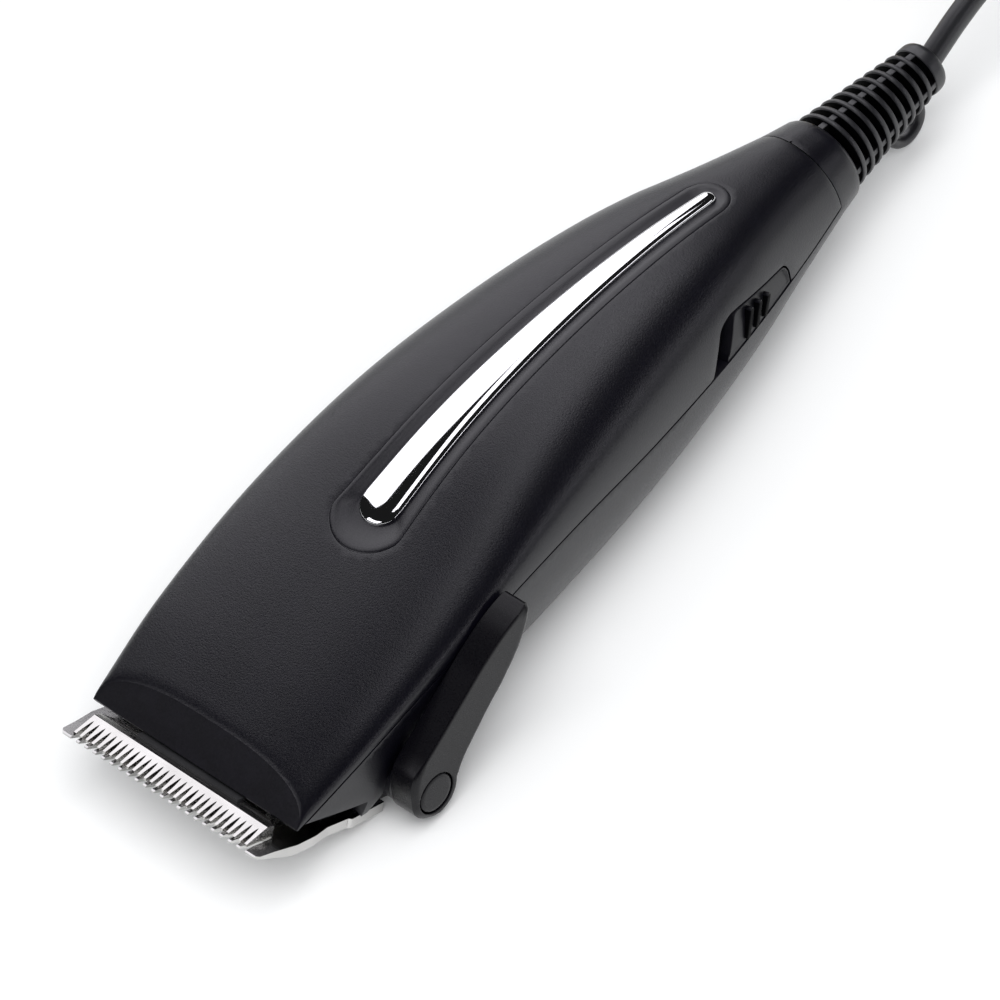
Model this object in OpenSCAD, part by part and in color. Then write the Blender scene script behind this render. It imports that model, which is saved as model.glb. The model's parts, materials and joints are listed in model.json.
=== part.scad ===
// Mains hair clipper with a side taper lever, a slide switch and a put-away cord.
// +Y runs from the blades to the cord, +X is the lever's side, +Z is up.
// The origin is the middle of the flat belly that the clipper rests on.

/* [Body] */
// length of the housing from its front lip to its tail rim
body_len = 159.4; // [140:0.2:180]
// largest half width of the housing
half_w = 26.1; // [22:0.1:30]
// height of the highest point of the back above the floor
body_h = 35.8; // [30:0.1:42]
// squareness of the cross sections, 2 is an ellipse
square = 2.7; // [2:0.1:4]
// wall thickness of the two shells
wall = 2.2; // [1.6:0.1:3]
// distance from the front lip to the middle of the flat belly
belly_y = 50; // [40:1:60]
// height of the front lip of the top shell
lip_z = 14.48; // [12:0.02:18]
// slope of the sloping face behind the front lip
bezel_deg = 42; // [30:1:60]
// length of the tail ring that holds the strain relief
ring_len = 7.2; // [5:0.2:10]
// outer radius of the tail rim
rim_r = 8.4; // [7:0.1:10]
// height of the tail rim's centre
rim_z = 15.0; // [12:0.1:18]

/* [Trim] */
// distance from the front lip to the front end of the inlay
inlay_y0 = 40.6; // [30:0.2:50]
// distance from the front lip to the rear end of the inlay
inlay_y1 = 135.4; // [120:0.2:145]
// half width of the inlay near its front end
inlay_r0 = 8.0; // [5:0.1:10]
// half width of the inlay near its rear end
inlay_r1 = 4.2; // [3:0.1:6]
// depth of the inlay's pocket in the top shell
pocket_d = 1.3; // [0.8:0.1:1.6]
// distance from the front lip to the front end of the bright strip
strip_y0 = 46.2; // [40:0.2:55]
// distance from the front lip to the rear end of the bright strip
strip_y1 = 133.2; // [118:0.2:140]
// half width of the bright strip near its front end
strip_r0 = 4.2; // [2.5:0.1:5]
// half width of the bright strip near its rear end
strip_r1 = 1.5; // [1:0.1:3]
// rise of the bright strip's crown above the back
strip_up = 0.5; // [0.2:0.1:1.2]

/* [Blades] */
// downward tilt of the blade plane towards the cord
blade_deg = 27.8; // [20:0.2:35]
// forward reach of the comb's tips beyond the front lip
tip_y = 8.42; // [6:0.02:11]
// height of the comb's tips above the floor
tip_z = 15.67; // [12:0.01:18]
// half width of the comb at its front corners
comb_w = 22.8; // [20:0.1:24]
// half width of the comb where it is widest
comb_wide = 23.8; // [20:0.1:25]
// length of the comb from tips to heel
comb_len = 30.2; // [26:0.2:34]
// thickness of the comb's heel
comb_t = 1.8; // [1.2:0.1:2.4]
// spacing of the comb's teeth
comb_pitch = 1.95; // [1.5:0.01:2.4]
// number of comb teeth between the two ears
comb_teeth = 20; // [14:2:26]
// depth of the gaps between the comb's teeth
comb_gap_l = 6.6; // [5:0.1:8]
// half width of the cutter
cut_w = 20; // [18:0.1:21]
// spacing of the cutter's teeth
cut_pitch = 1.36; // [1:0.01:1.8]
// number of gaps between the cutter's teeth
cut_gaps = 29; // [21:2:35]
// thickness of the cutter
cut_t = 2.25; // [1.6:0.05:2.8]
// distance of the cutter's tips behind the comb's tips
cut_back = 0.9; // [0.2:0.1:2]
// distance of the cutter's crest behind the comb's tips
crest_l = 5.35; // [4:0.05:7]
// offset of the cutter to the left when the motor is off
cut_off = 0.4; // [0:0.05:0.6]
// running gap between the cutter and the comb
blade_gap = 0.03; // [0.01:0.01:0.1]

/* [Lever] */
// distance of the lever's pivot behind the front lip
piv_y = 22.4; // [18:0.1:28]
// height of the lever's pivot above the floor
piv_z = 6.4; // [5:0.1:9]
// outer face of the lever from the middle plane
lever_x = 32; // [29:0.1:34]
// thickness of the lever's arm
lever_t = 5.6; // [4:0.1:7]
// radius of the lever's shaft
shaft_r = 2.5; // [1.5:0.1:3]
// throw of the crank pin on the lever's shaft
crank = 2.0; // [1.5:0.1:3]
// radius of the crank pin
crank_r = 1.0; // [0.6:0.1:1.5]

/* [Switch] */
// distance of the switch button's front lower corner behind the front lip
sw_y = 112.6; // [105:0.2:120]
// length of the switch button
sw_len = 19; // [14:0.2:24]
// height of the switch button at its front
sw_h = 7.4; // [5:0.1:9]
// travel of the switch button towards the blades
sw_travel = 3.2; // [2:0.1:5]
// clearance between the button and its slot
sw_gap = 0.3; // [0.15:0.05:0.5]

/* [Cord] */
// diameter of the mains cord
cord_d = 4.4; // [3.6:0.1:6]
// length of the mains cord from the strain relief to the plug
cord_len = 1800; // [1200:50:3000]
// length of the strain relief behind the tail rim
relief_len = 27.6; // [20:0.2:40]
// mean radius of the put-away coil
coil_r = 24; // [22:0.5:28]

/* [Hidden] */
$fn = 48;
fit = 0.02;       // clearance of a seated piece
run = 0.05;       // clearance of a turning or sliding piece
eps = 0.01;       // overlap that joins two solids of one piece

// ---------- shape of the housing ----------
// stations as shares of the length, then half width, top, parting line and bottom at each
st = [0, 0.12, 0.275, 0.425, 0.575, 0.73, 0.88, 1];
ys = [for (s = st) s * body_len];
wf = [0.904, 0.977, 1, 0.958, 0.866, 0.713, 0.49, rim_r / half_w];
tf = [0.506, 0.66, 0.832, 0.972, 1, 0.936, 0.79, (rim_z + rim_r) / body_h];
pf = [0.391, 0.525, 0.634, 0.648, 0.581, 0.503, 0.419, rim_z / body_h];
bf = [-0.01, -0.01, -0.01, -0.004, 0.036, 0.128, 0.2, (rim_z - rim_r) / body_h];

function seg(y, i = 0) = (i >= len(ys) - 2 || y < ys[i + 1]) ? i : seg(y, i + 1);
function slope(v, i) = let(a = max(i - 1, 0), b = min(i + 1, len(ys) - 1))
  (v[b] - v[a]) / (ys[b] - ys[a]);
function curve(y, v) = let(i = seg(y), h = ys[i + 1] - ys[i], t = (y - ys[i]) / h)
  (2 * t * t * t - 3 * t * t + 1) * v[i] + (t * t * t - 2 * t * t + t) * slope(v, i) * h
  + (3 * t * t - 2 * t * t * t) * v[i + 1] + (t * t * t - t * t) * slope(v, i + 1) * h;
function hw(y) = half_w * curve(y, wf);
function zt(y) = body_h * curve(y, tf);
function zp(y) = body_h * curve(y, pf);
function zb(y) = body_h * curve(y, bf);
function blend(y, y0, y1, a, b) = a + (b - a) * min(1, max(0, (y - y0) / (y1 - y0)));
// the sections are squarer below at the blades and round at the tail
function sq_top(y) = blend(y, 0.8 * body_len, 0.96 * body_len, square, 2);
function sq_low(y) = y < 40 ? blend(y, 14, 24, square + 2.3, square) : sq_top(y);
function reach(a, p) = pow(pow(abs(cos(a)), p) + pow(abs(sin(a)), p), -1 / p);
// point of the section at y and angle a, pulled in by d
function sec(y, a, d) = let(up = sin(a) >= 0, k = reach(a, up ? sq_top(y) : sq_low(y)),
    h = up ? zt(y) - zp(y) : zp(y) - zb(y))
  [(hw(y) - d) * k * cos(a), y, zp(y) + (h - d) * k * sin(a)];
function back_z(x, y) = let(p = sq_top(y), u = abs(x) / hw(y))
  zp(y) + (zt(y) - zp(y)) * pow(1 - pow(u, p), 1 / p);
function belly_z(x, y) = let(p = sq_low(y), u = abs(x) / hw(y))
  zp(y) - (zp(y) - zb(y)) * pow(1 - pow(u, p), 1 / p);

// closed skin over flat rings of as many points each, capped by strips across each end ring
module skin(rings) {
  n = len(rings[0]);
  m = len(rings);
  side = [for (i = [0:m - 2], j = [0:n - 1]) let(a = i * n + j, b = i * n + (j + 1) % n)
    each [[a, b, b + n], [a, b + n, a + n]]];
  caps = [for (e = [0, m - 1], j = [0:n / 2 - 2])
    let(a = e * n + j, b = a + 1, c = e * n + n - 2 - j, d = c + 1)
    each (e == 0 ? [[a, d, c], [a, c, b]] : [[a, c, d], [a, b, c]])];
  polyhedron(points = [for (r = rings) each r], faces = concat(side, caps), convexity = 10);
}
// band of the housing between two angles and two depths below its surface
function band(y, a0, a1, d0, d1, n = 16) = concat(
  [for (j = [0:n]) sec(y, a0 + (a1 - a0) * j / n, d0)],
  [for (j = [n:-1:0]) sec(y, a0 + (a1 - a0) * j / n, d1)]);
// half section that is solid but for a sliver at the parting line
function filled(y) = concat([for (j = [0:16]) sec(y, 11.25 * j, 0)],
  [for (j = [16:-1:0]) let(p = sec(y, 11.25 * j, 0)) [0.97 * p[0], y, zp(y) + 0.03 * (p[2] - zp(y))]]);
function whole(y, n = 32) = [for (j = [0:n - 1]) sec(y, 360 * j / n, 0)];

// ---------- frames ----------
// everything is drawn from the front lip, then moved so that the belly is the origin
module placed() { translate([0, -belly_y, 0]) children(); }
// blade plane: +Y runs along the comb to its heel, +Z out of its upper face
module blade_frame() { placed() translate([0, -tip_y, tip_z]) rotate([-blade_deg, 0, 0]) children(); }
function to_l(y, z) = (y + tip_y) * cos(blade_deg) + (tip_z - z) * sin(blade_deg);
function to_h(y, z) = (y + tip_y) * sin(blade_deg) + (z - tip_z) * cos(blade_deg);
piv_l = to_l(piv_y, piv_z);
piv_h = to_h(piv_y, piv_z);
// side of the housing at the switch: X outward, Y to the tail, Z up from the parting line
module switch_frame() {
  placed() translate([hw(sw_y), sw_y, zp(sw_y)])
    rotate([-atan((zp(sw_y) - zp(sw_y + sw_len)) / sw_len), 0, atan((hw(sw_y) - hw(sw_y + sw_len)) / sw_len)])
      children();
}
// flat plate with round corners, centred
module slab(w, d, r) {
  square([w - 2 * r, d], center = true);
  square([w, d - 2 * r], center = true);
  for (x = [-1, 1], y = [-1, 1]) translate([x * (w / 2 - r), y * (d / 2 - r)]) circle(r);
}
// tube swept along points, closed at both ends
function unit(v) = v / norm(v);
function along(p, i) = unit(p[min(i + 1, len(p) - 1)] - p[max(i - 1, 0)]);
module tube(path, r, n = 10) {
  m = len(path);
  ring = [for (i = [0:m - 1]) let(t = along(path, i), s = unit(cross(t, [0.02, 0.01, 1])), u = cross(s, t))
    [for (j = [0:n - 1]) path[i] + r * (cos(360 * j / n) * s + sin(360 * j / n) * u)]];
  skin(ring);
}

// ---------- housing ----------
arc_y = body_len - ring_len;    // end of the top shell, front of the tail collar
solid_y = 6;                    // the sloping face is backed by solid plastic up to here
lip_gap = 2.62;                 // height of the top shell's lip above the blade plane
posts = [[16, 36], [-16, 36], [-5, 124]];   // housing screws
post_r = 3.9;
screw_r = 1.5;
head_r = 3;
motor_z = 9;                    // underside of the motor's core
arm_z = 18.1;                   // underside of the drive arm over the armature
arm_t = 3.3;
axle_y = 98;                    // pivot of the drive arm
axle_r = 2;

top_ys = [0, 3, solid_y, solid_y + 0.1, 10, 15, 20, 27, 34, 42, 50, 58, 66, 74, 82, 90, 98, 106,
  114, 122, 130, 138, 145, arc_y];
low_ys = [0, 5, 10, 14, 17, 20, 24, 30, 37, 44, 52, 60, 68, 76, 84, 92, 100, 108, 116, 124, 132,
  140, 146, arc_y];

// plan half width of a lane that is round at both ends and narrows to the rear
function lane(y, y0, y1, r0, r1, flare) =
  let(t = (y - y0) / (y1 - y0), w = r0 - flare + (r1 - r0 + flare) * t + flare * exp(-9 * t))
  y < y0 + r0 ? min(w, sqrt(max(0, r0 * r0 - pow(y0 + r0 - y, 2))))
  : y > y1 - r1 ? min(w, sqrt(max(0, r1 * r1 - pow(y - y1 + r1, 2)))) : w;
ends = [5, 14, 30, 48, 66, 82];
function lane_ys(y0, y1, r0, r1) = concat([for (a = ends) y0 + r0 * (1 - cos(a))],
  [for (i = [0:9]) y0 + r0 + (y1 - y0 - r0 - r1) * i / 9],
  [for (i = [5:-1:0]) y1 - r1 * (1 - cos(ends[i]))]);
inlay_ys = lane_ys(inlay_y0, inlay_y1, inlay_r0, inlay_r1);
function inlay_w(y) = lane(y, inlay_y0, inlay_y1, inlay_r0, inlay_r1, 1.1);
strip_ys = lane_ys(strip_y0, strip_y1, strip_r0, strip_r1);
function strip_w(y) = lane(y, strip_y0, strip_y1, strip_r0, strip_r1, 0);

module inlay_pocket() {
  skin([for (y = inlay_ys) let(w = inlay_w(y), z = zt(y))
    [[w, y, z - pocket_d], [w, y, z + 3], [-w, y, z + 3], [-w, y, z - pocket_d]]]);
}

module top_shell() {
  color([0.09, 0.09, 0.10]) difference() {
    union() {
      placed() skin([for (y = top_ys) y < solid_y + 0.05 ? filled(y) : band(y, 0, 180, 0, wall)]);
      for (p = posts) top_post(p[0], p[1], post_r, zp(p[1]) + eps);
      top_post(0, axle_y, 3.6, arm_z + arm_t + 0.3);
    }
    // sloping face behind the lip
    placed() translate([-40, 0, lip_z]) rotate([bezel_deg, 0, 0]) translate([0, -10, 0]) cube([80, 40, 30]);
    // room for the blades under the lip
    blade_frame() translate([-cut_w - 1.4, 0, -4]) cube([2 * cut_w + 2.8, 22, 4 + lip_gap]);
    // room for the follower and the spring, behind the sloping face
    blade_frame() translate([-wing_x, 10.1, 0]) cube([2 * wing_x, 14, cut_flat + 2 + 2 * spring_r + 0.4]);
    placed() inlay_pocket();
    switch_frame() rotate([90, 0, 90]) translate([0, 0, -9]) linear_extrude(14)
      switch_outline(sw_gap, sw_travel + sw_gap, -1.5);
    for (p = posts) placed() translate([p[0], p[1], 0]) cylinder(r = screw_r, h = zp(p[1]) + 3.6);
    placed() translate([0, axle_y, 0]) cylinder(r = axle_r + fit, h = arm_z + arm_t + 3.4);
  }
}
module top_post(x, y, r, z) {
  placed() translate([x, y, z]) cylinder(r = r, h = back_z(x, y) - 1.2 - z);
}
module low_post(x, y, r, z) {
  z0 = belly_z(abs(x) + 0.85 * r, y) + 0.5;
  placed() translate([x, y, z0]) cylinder(r = r, h = z - z0);
}

boss_r = 4.6;                   // boss of the lever's shaft
boss_x = lever_x - lever_t - 0.3;
web_r = crank + crank_r + 0.1;  // crank web inside the housing
web_x = 10.5;
rail_x = 15.4;                  // inner faces of the rails that the carrier slides on
rail_l = 23.4;
rail_h = 2.2;
floor_l = 31.4;                 // front edge of the floor behind the comb's heel
relief_r = 5.2;                 // neck of the strain relief in the tail collar
flange_r = 6;
flange_t = 2;

module bottom_shell() {
  color([0.08, 0.08, 0.09]) difference() {
    union() {
      difference() {
        placed() skin([for (y = low_ys) band(y, 180, 360, 0, wall)]);
        // room for the comb, the cutter and the carrier
        blade_frame() translate([-40, -20, -30]) cube([80, 20 + rail_l, 33.5]);
        blade_frame() translate([-40, 0, -30]) cube([80, floor_l, 30.15]);
        blade_frame() translate([-19.8, 0, -9]) cube([39.6, floor_l, 9.5]);
      }
      placed() skin([for (y = [arc_y, body_len - 4.5, body_len - 2, body_len]) whole(y)]);
      placed() translate([0, arc_y - 0.7, rim_z]) rotate([-90, 0, 0]) cylinder(r = 6.7, h = ring_len);
      for (s = [0, 1]) mirror([s, 0, 0]) blade_frame()
        translate([rail_x, rail_l, 0.15]) cube([22 - rail_x, floor_l - rail_l + 0.6, rail_h - 0.15]);
      placed() translate([web_x + 0.3, piv_y, piv_z]) rotate([0, 90, 0])
        cylinder(r = boss_r, h = boss_x - web_x - 0.3);
      for (p = posts) low_post(p[0], p[1], post_r, zp(p[1]) - eps);
      low_post(0, axle_y, 3.6, arm_z - 0.1);
      for (p = core_bolts) low_post(p[0], p[1], 3.2, motor_z);
      switch_frame() translate([-13, 5, -10]) cube([7, 9, 4]);
    }
    // room for the carrier and its wings
    blade_frame() translate([-rail_x, carrier_l - 1, -1])
      cube([2 * rail_x, floor_l - carrier_l + 1, rail_h + 2]);
    blade_frame() translate([-wing_x - 0.3, carrier_l - 1, rail_h])
      cube([2 * wing_x + 0.6, floor_l - carrier_l + 1, 2]);
    // flat belly
    translate([-40, -80, -5]) cube([80, 260, 5]);
    // bore of the lever's shaft
    placed() translate([web_x, piv_y, piv_z]) rotate([0, 90, 0]) cylinder(r = shaft_r + run, h = 20);
    placed() translate([0, axle_y, motor_z]) cylinder(r = axle_r, h = 20);
    for (p = posts) placed() translate([p[0], p[1], -1]) {
      cylinder(r = head_r + 0.2, h = belly_z(p[0], p[1]) + 5);
      cylinder(r = screw_r + 0.1, h = 40);
    }
    for (p = core_bolts) placed() translate([p[0], p[1], 5]) cylinder(r = screw_r, h = 9);
    // seat of the strain relief
    placed() translate([0, arc_y - 8, rim_z]) rotate([-90, 0, 0]) {
      cylinder(r = relief_r, h = 30);
      cylinder(r = flange_r + 0.2, h = 7.3);
    }
  }
}

// ---------- trim ----------
module trim_panel() {
  color([0.12, 0.12, 0.13]) placed() skin([for (y = inlay_ys) let(w = inlay_w(y) - fit, z = zt(y),
      f = pocket_d - fit, s = min(strip_w2(y) + 0.25, w * 0.8), b = min(w - 0.05, max(w * 0.85, w - 0.9)))
    [[w, y, z - f], [w, y, back_z(w, y) - 0.15], [b, y, back_z(b, y) + 0.18], [s, y, z - 0.45],
     [-s, y, z - 0.45], [-b, y, back_z(b, y) + 0.18], [-w, y, back_z(w, y) - 0.15], [-w, y, z - f]]]);
}
sag = 0.08;                     // clearance of the strip along the curved back
function strip_w2(y) = strip_w(min(max(y, strip_y0 + 1), strip_y1 - 1));
module chrome_strip() {
  color([0.80, 0.81, 0.83]) placed() skin([for (y = strip_ys) let(w = strip_w(y), z = zt(y))
    [[w, y, z - 0.45 + sag], [w, y, z - 0.2], [w * 0.6, y, z + strip_up * 0.6], [0, y, z + strip_up],
     [0, y, z + strip_up + eps], [-w * 0.6, y, z + strip_up * 0.6], [-w, y, z - 0.2],
     [-w, y, z - 0.45 + sag]]]);
}

// ---------- blades ----------
screw_x = 11;                   // blade screws, either side of the middle
screw_l = 25.5;
module comb_outline() {
  side = [[comb_w - 0.8, 0], [comb_w, 0.8], [comb_w + 0.3, 4], [comb_wide, 8.5], [comb_wide - 0.2, 13],
    [comb_w + 0.1, 16.5], [comb_w + 0.2, 21.4], [comb_w + 0.7, 21.8], [comb_w, comb_len]];
  polygon(concat(side, [for (i = [len(side) - 1:-1:0]) [-side[i][0], side[i][1]]]));
}
module comb_blade() {
  color([0.72, 0.73, 0.75]) blade_frame() difference() {
    intersection() {
      translate([0, 0, -comb_t - 1]) linear_extrude(comb_t + 2) comb_outline();
      rotate([90, 0, 90]) translate([0, 0, -30]) linear_extrude(60)
        polygon([[0, -0.12], [0.3, 0], [comb_len, 0], [comb_len, -comb_t], [7, -comb_t], [0, -0.4]]);
    }
    translate([0, 0, -comb_t - 1]) linear_extrude(comb_t + 2)
      for (i = [0:comb_teeth]) translate([(i - comb_teeth / 2) * comb_pitch, 0]) comb_slot();
    for (x = [-screw_x, screw_x]) translate([x, screw_l, -comb_t - 1]) {
      cylinder(r = screw_r + 0.1, h = comb_t + 2);
      cylinder(r = head_r - 0.1, h = 1.95);
    }
  }
}
// gap between two comb teeth, wider at the tips
module comb_slot() {
  g = comb_pitch / 4;
  polygon([[-g - 0.2, -1], [g + 0.2, -1], [g, 2], [g, comb_gap_l - 0.5], [g - 0.25, comb_gap_l],
    [0.25 - g, comb_gap_l], [-g, comb_gap_l - 0.5], [-g, 2]]);
}
neck_x = cut_w - 3.3;
cut_l = 16;
cut_flat = cut_t - 0.35;        // height of the cutter behind its crest
peg_x = 8;
peg_l = 14.4;
module at_cutter() { blade_frame() translate([-cut_off, 0, 0]) children(); }
module cutter_blade() {
  color([0.68, 0.69, 0.71]) at_cutter() difference() {
    intersection() {
      linear_extrude(cut_t + 1) polygon([[-cut_w, cut_back], [cut_w, cut_back], [cut_w, 7],
        [neck_x, 8.2], [neck_x, cut_l], [-neck_x, cut_l], [-neck_x, 8.2], [-cut_w, 7]]);
      rotate([90, 0, 90]) translate([0, 0, -30]) linear_extrude(60)
        polygon([[cut_back, blade_gap], [cut_back, 0.5], [crest_l, cut_t], [7, cut_flat],
          [cut_l, cut_flat], [cut_l, blade_gap]]);
    }
    translate([0, 0, -1]) linear_extrude(cut_t + 2)
      for (i = [0:cut_gaps - 1]) translate([(i - (cut_gaps - 1) / 2) * cut_pitch, 0])
        polygon([[-0.46, 0], [0.46, 0], [0.34, 2.4], [0.16, 3.9], [0, 4.4], [-0.16, 3.9], [-0.34, 2.4]]);
    for (x = [-peg_x, peg_x]) translate([x, peg_l, -1]) cylinder(r = 1.2 + fit, h = cut_t + 2);
  }
}
follow_w = 11.7;                // half width of the follower
finger_r = 1.6;
finger_l = 15.2;
module cutter_follower() {
  color([0.13, 0.13, 0.14]) at_cutter() difference() {
    union() {
      translate([-follow_w, 6.9, cut_flat]) cube([2 * follow_w, 5, 0.45]);
      translate([-follow_w, 11.2, cut_flat]) cube([2 * follow_w, 6.2, 2.6]);
      for (x = [-peg_x, peg_x]) translate([x, peg_l, 0.6]) cylinder(r = 1.2, h = cut_flat - 0.5);
    }
    // fork for the drive finger, open to the rear
    translate([cut_off - finger_r - run, finger_l - finger_r - 0.2, cut_flat + 0.4])
      cube([2 * (finger_r + run), 10, 6]);
    // shoulders that the ends of the tension spring slide on
    for (s = [0, 1]) mirror([s, 0, 0]) translate([5.4, 6, cut_flat + 2]) cube([follow_w, 12, 2]);
  }
}
wing_x = 17.6;
plate_h = 3.6;                  // top of the carrier
carrier_l = 20.8;               // front edge of the carrier
carrier_len = 8.8;
module blade_carrier() {
  color([0.15, 0.15, 0.16]) blade_frame() difference() {
    union() {
      translate([-rail_x + 0.2, carrier_l, 0]) cube([2 * (rail_x - 0.2), carrier_len, 2.3]);
      translate([-wing_x, carrier_l, rail_h + run]) cube([2 * wing_x, carrier_len, plate_h - rail_h - run]);
    }
    for (x = [-screw_x, screw_x]) translate([x, screw_l, -1]) cylinder(r = screw_r, h = plate_h + 2);
  }
}
module blade_screws() {
  color([0.6, 0.6, 0.62]) blade_frame() for (x = [-screw_x, screw_x]) translate([x, screw_l, -comb_t])
    difference() {
      union() {
        cylinder(r = head_r - 0.2, h = 0.9);
        cylinder(r = screw_r - fit, h = comb_t + plate_h - 0.2);
      }
      translate([-3, -0.35, -1]) cube([6, 0.7, 1.4]);
    }
}
spring_x = 8;
spring_l = 12.8;                // ends of the spring on the follower
spring_r = 0.55;
spring_h = plate_h + spring_r + 0.01;
module tension_spring() {
  tip_h = cut_flat + 2 + spring_r + 2 * run;
  color([0.75, 0.75, 0.77]) blade_frame() tube(concat(
    [[-spring_x - cut_off, spring_l, tip_h], [-12, 18, tip_h], [-14, 20.5, spring_h]],
    [for (a = [200:-20:100]) [-12.4 + 2 * cos(a), 22.6 + 2 * sin(a), spring_h]],
    [for (a = [80:-20:-20]) [12.4 + 2 * cos(a), 22.6 + 2 * sin(a), spring_h]],
    [[14, 20.5, spring_h], [12, 18, tip_h], [spring_x - cut_off, spring_l, tip_h]]), spring_r, 8);
}
fork_x = 7;
fork_t = 1.6;
link_l = 26;                    // front edge of the link's foot
module comb_link() {
  color([0.62, 0.63, 0.65]) blade_frame() difference() {
    union() {
      translate([fork_x - 3, link_l, plate_h]) cube([fork_t + 3, carrier_l + carrier_len - link_l, 0.8]);
      translate([fork_x, link_l, plate_h]) cube([fork_t, piv_l + 2.2 - link_l, 3.9]);
    }
    translate([fork_x - 1, piv_l - crank_r - run, 0])
      cube([fork_t + 2, 2 * (crank_r + run), piv_h - crank + crank_r + 0.5]);
  }
}

// ---------- lever ----------
// side view of the lever from its pivot, along Y and Z
module lever_outline() {
  polygon([[-2.9, 3.9], [0.2, 6.4], [5.2, 10.6], [14.3, 15], [22.5, 18.7], [27, 20.6], [28.3, 20.4],
    [28.6, 18.9], [27.4, 16.6], [25.8, 15.6], [19.4, 9.8], [15.7, 7.9], [9.8, 4.0], [5.6, 1.2],
    [3.6, -3.2], [0, 0]]);
  circle(5);
}
cap_r = 3.6;
module taper_lever() {
  color([0.16, 0.16, 0.17]) placed() translate([lever_x - lever_t, piv_y, piv_z]) rotate([90, 0, 90])
    difference() {
      linear_extrude(lever_t) lever_outline();
      translate([0, 0, -1]) cylinder(r = shaft_r + fit, h = lever_t + 2);
      translate([0, 0, lever_t - 1.4]) cylinder(r = cap_r + 0.25, h = 2);
      // the upper face falls away towards the outside near the free end
      translate([15, 15.3, lever_t - 1.6]) rotate([0, 0, 24]) rotate([38, 0, 0]) cube([22, 12, 6]);
    }
}
module lever_cap() {
  color([0.2, 0.2, 0.21]) placed() translate([lever_x - 1.4 + fit, piv_y, piv_z]) rotate([0, 90, 0]) {
    cylinder(r = cap_r, h = 1.1);
    translate([0, 0, 1.1]) cylinder(r1 = cap_r, r2 = cap_r - 0.3, h = 0.25);
  }
}
module lever_shaft() {
  color([0.7, 0.7, 0.72]) {
    placed() translate([web_x - 1.5, piv_y, piv_z]) rotate([0, 90, 0]) {
      cylinder(r = web_r, h = 1.5);
      cylinder(r = shaft_r, h = lever_x - 1.4 - web_x + 1.5);
    }
    blade_frame() translate([fork_x - 0.3, piv_l, piv_h - crank]) rotate([0, 90, 0])
      cylinder(r = crank_r, h = web_x - 1.4 - fork_x + 0.3);
  }
}

// ---------- switch ----------
// outline from the parting line up, with clearance g, forward travel f and lower edge z0
module switch_outline(g, f, z0) {
  polygon([[-g - f, z0], [-g - f, 0.8 - g], [3.4 - g - f, sw_h - 1.2 + g], [5 - f, sw_h + g],
    [5, sw_h + g], [sw_len - 2.6, sw_h - 2.9 + g], [sw_len - 0.6 + g, sw_h - 4.4 + g],
    [sw_len + g, 2], [sw_len + g, z0]]);
}
rib_y = [6.6, 8.7, 10.8];
sw_ys = [for (i = [0:14]) sw_y - 3 + i * (sw_len + 6) / 14];
module switch_slider() {
  color([0.10, 0.10, 0.11]) {
    intersection() {
      placed() skin([for (y = sw_ys) band(y, -8, 62, 0.45, 2, 10)]);
      switch_frame() rotate([90, 0, 90]) translate([0, 0, -9]) linear_extrude(14) switch_outline(0, 0, 0.35);
    }
    intersection() {
      placed() skin([for (y = sw_ys) band(y, -8, 62, -0.35, 1.2, 10)]);
      switch_frame() for (y = rib_y) translate([-9, y, 0.9]) cube([14, 1.3, sw_h - 2.6]);
    }
    switch_frame() translate([-7, 8, 1.6]) cube([5.6, 3, 2.6]);
  }
}
module switch_body() {
  color([0.75, 0.75, 0.72]) switch_frame() difference() {
    translate([-14, 2, -6 + fit]) cube([9.4, 16, 11]);
    translate([-9, 8 - sw_travel - 0.3, 1.3]) cube([6, 3.6 + sw_travel, 3.2]);
  }
}

// ---------- motor ----------
core_x = -0.2;                  // pole faces of the core
core_w = 19;
core_y = 44;
core_len = 36;
core_h = 12;
leg = core_len * 0.1945;         // outer legs, the middle leg is wider
mid = core_len / 4;
back = leg;
motor_gap = 1.4;                // air gap between the armature and the pole faces at rest
core_bolts = [for (y = [leg / 2, core_len - leg / 2]) [core_x + core_w - back / 2, core_y + y]];
mid_y = core_y + core_len / 2;
module motor_core() {
  color([0.42, 0.42, 0.45]) placed() difference() {
    translate([core_x, core_y, motor_z]) cube([core_w, core_len, core_h]);
    for (s = [-1, 1]) translate([core_x - 1, mid_y + s * (mid / 2 + window / 2), motor_z - 1])
      translate([0, -window / 2, 0]) cube([core_w - back + 1, window, core_h + 2]);
    for (p = core_bolts) translate([p[0], p[1], 0]) cylinder(r = screw_r + 0.1, h = 40);
  }
}
bob_t = 0.8;
window = core_len / 2 - leg - mid / 2;     // gap between two legs of the core
coil_t = window - bob_t - 1.7;
coil_r0 = mid / 2 + bob_t + coil_t;      // outer face of the coil from its middle
coil_x0 = core_x + 1;
coil_w = core_w - back - 1.2;
module around_leg(t, x0, w) {
  placed() translate([coil_x0 + x0, mid_y, motor_z + core_h / 2]) rotate([90, 0, 90]) linear_extrude(w)
    slab(mid + 2 * t, core_h + 2 * t, min(t, 2));
}
module coil_bobbin() {
  color([0.85, 0.85, 0.8]) difference() {
    union() {
      around_leg(bob_t, 0, coil_w);
      around_leg(bob_t + coil_t, 0, 0.9);
      around_leg(bob_t + coil_t, coil_w - 0.9, 0.9);
    }
    placed() translate([coil_x0 - 1, mid_y - mid / 2 - fit, motor_z - fit])
      cube([coil_w + 2, mid + 2 * fit, core_h + 2 * fit]);
  }
}
module coil_winding() {
  color([0.72, 0.40, 0.22]) difference() {
    around_leg(bob_t + coil_t - 0.5, 0.9 + fit, coil_w - 1.8 - 2 * fit);
    around_leg(bob_t + fit, 0, coil_w);
  }
}
arma_w = 6.4;
arma_x = core_x - motor_gap - arma_w;
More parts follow.
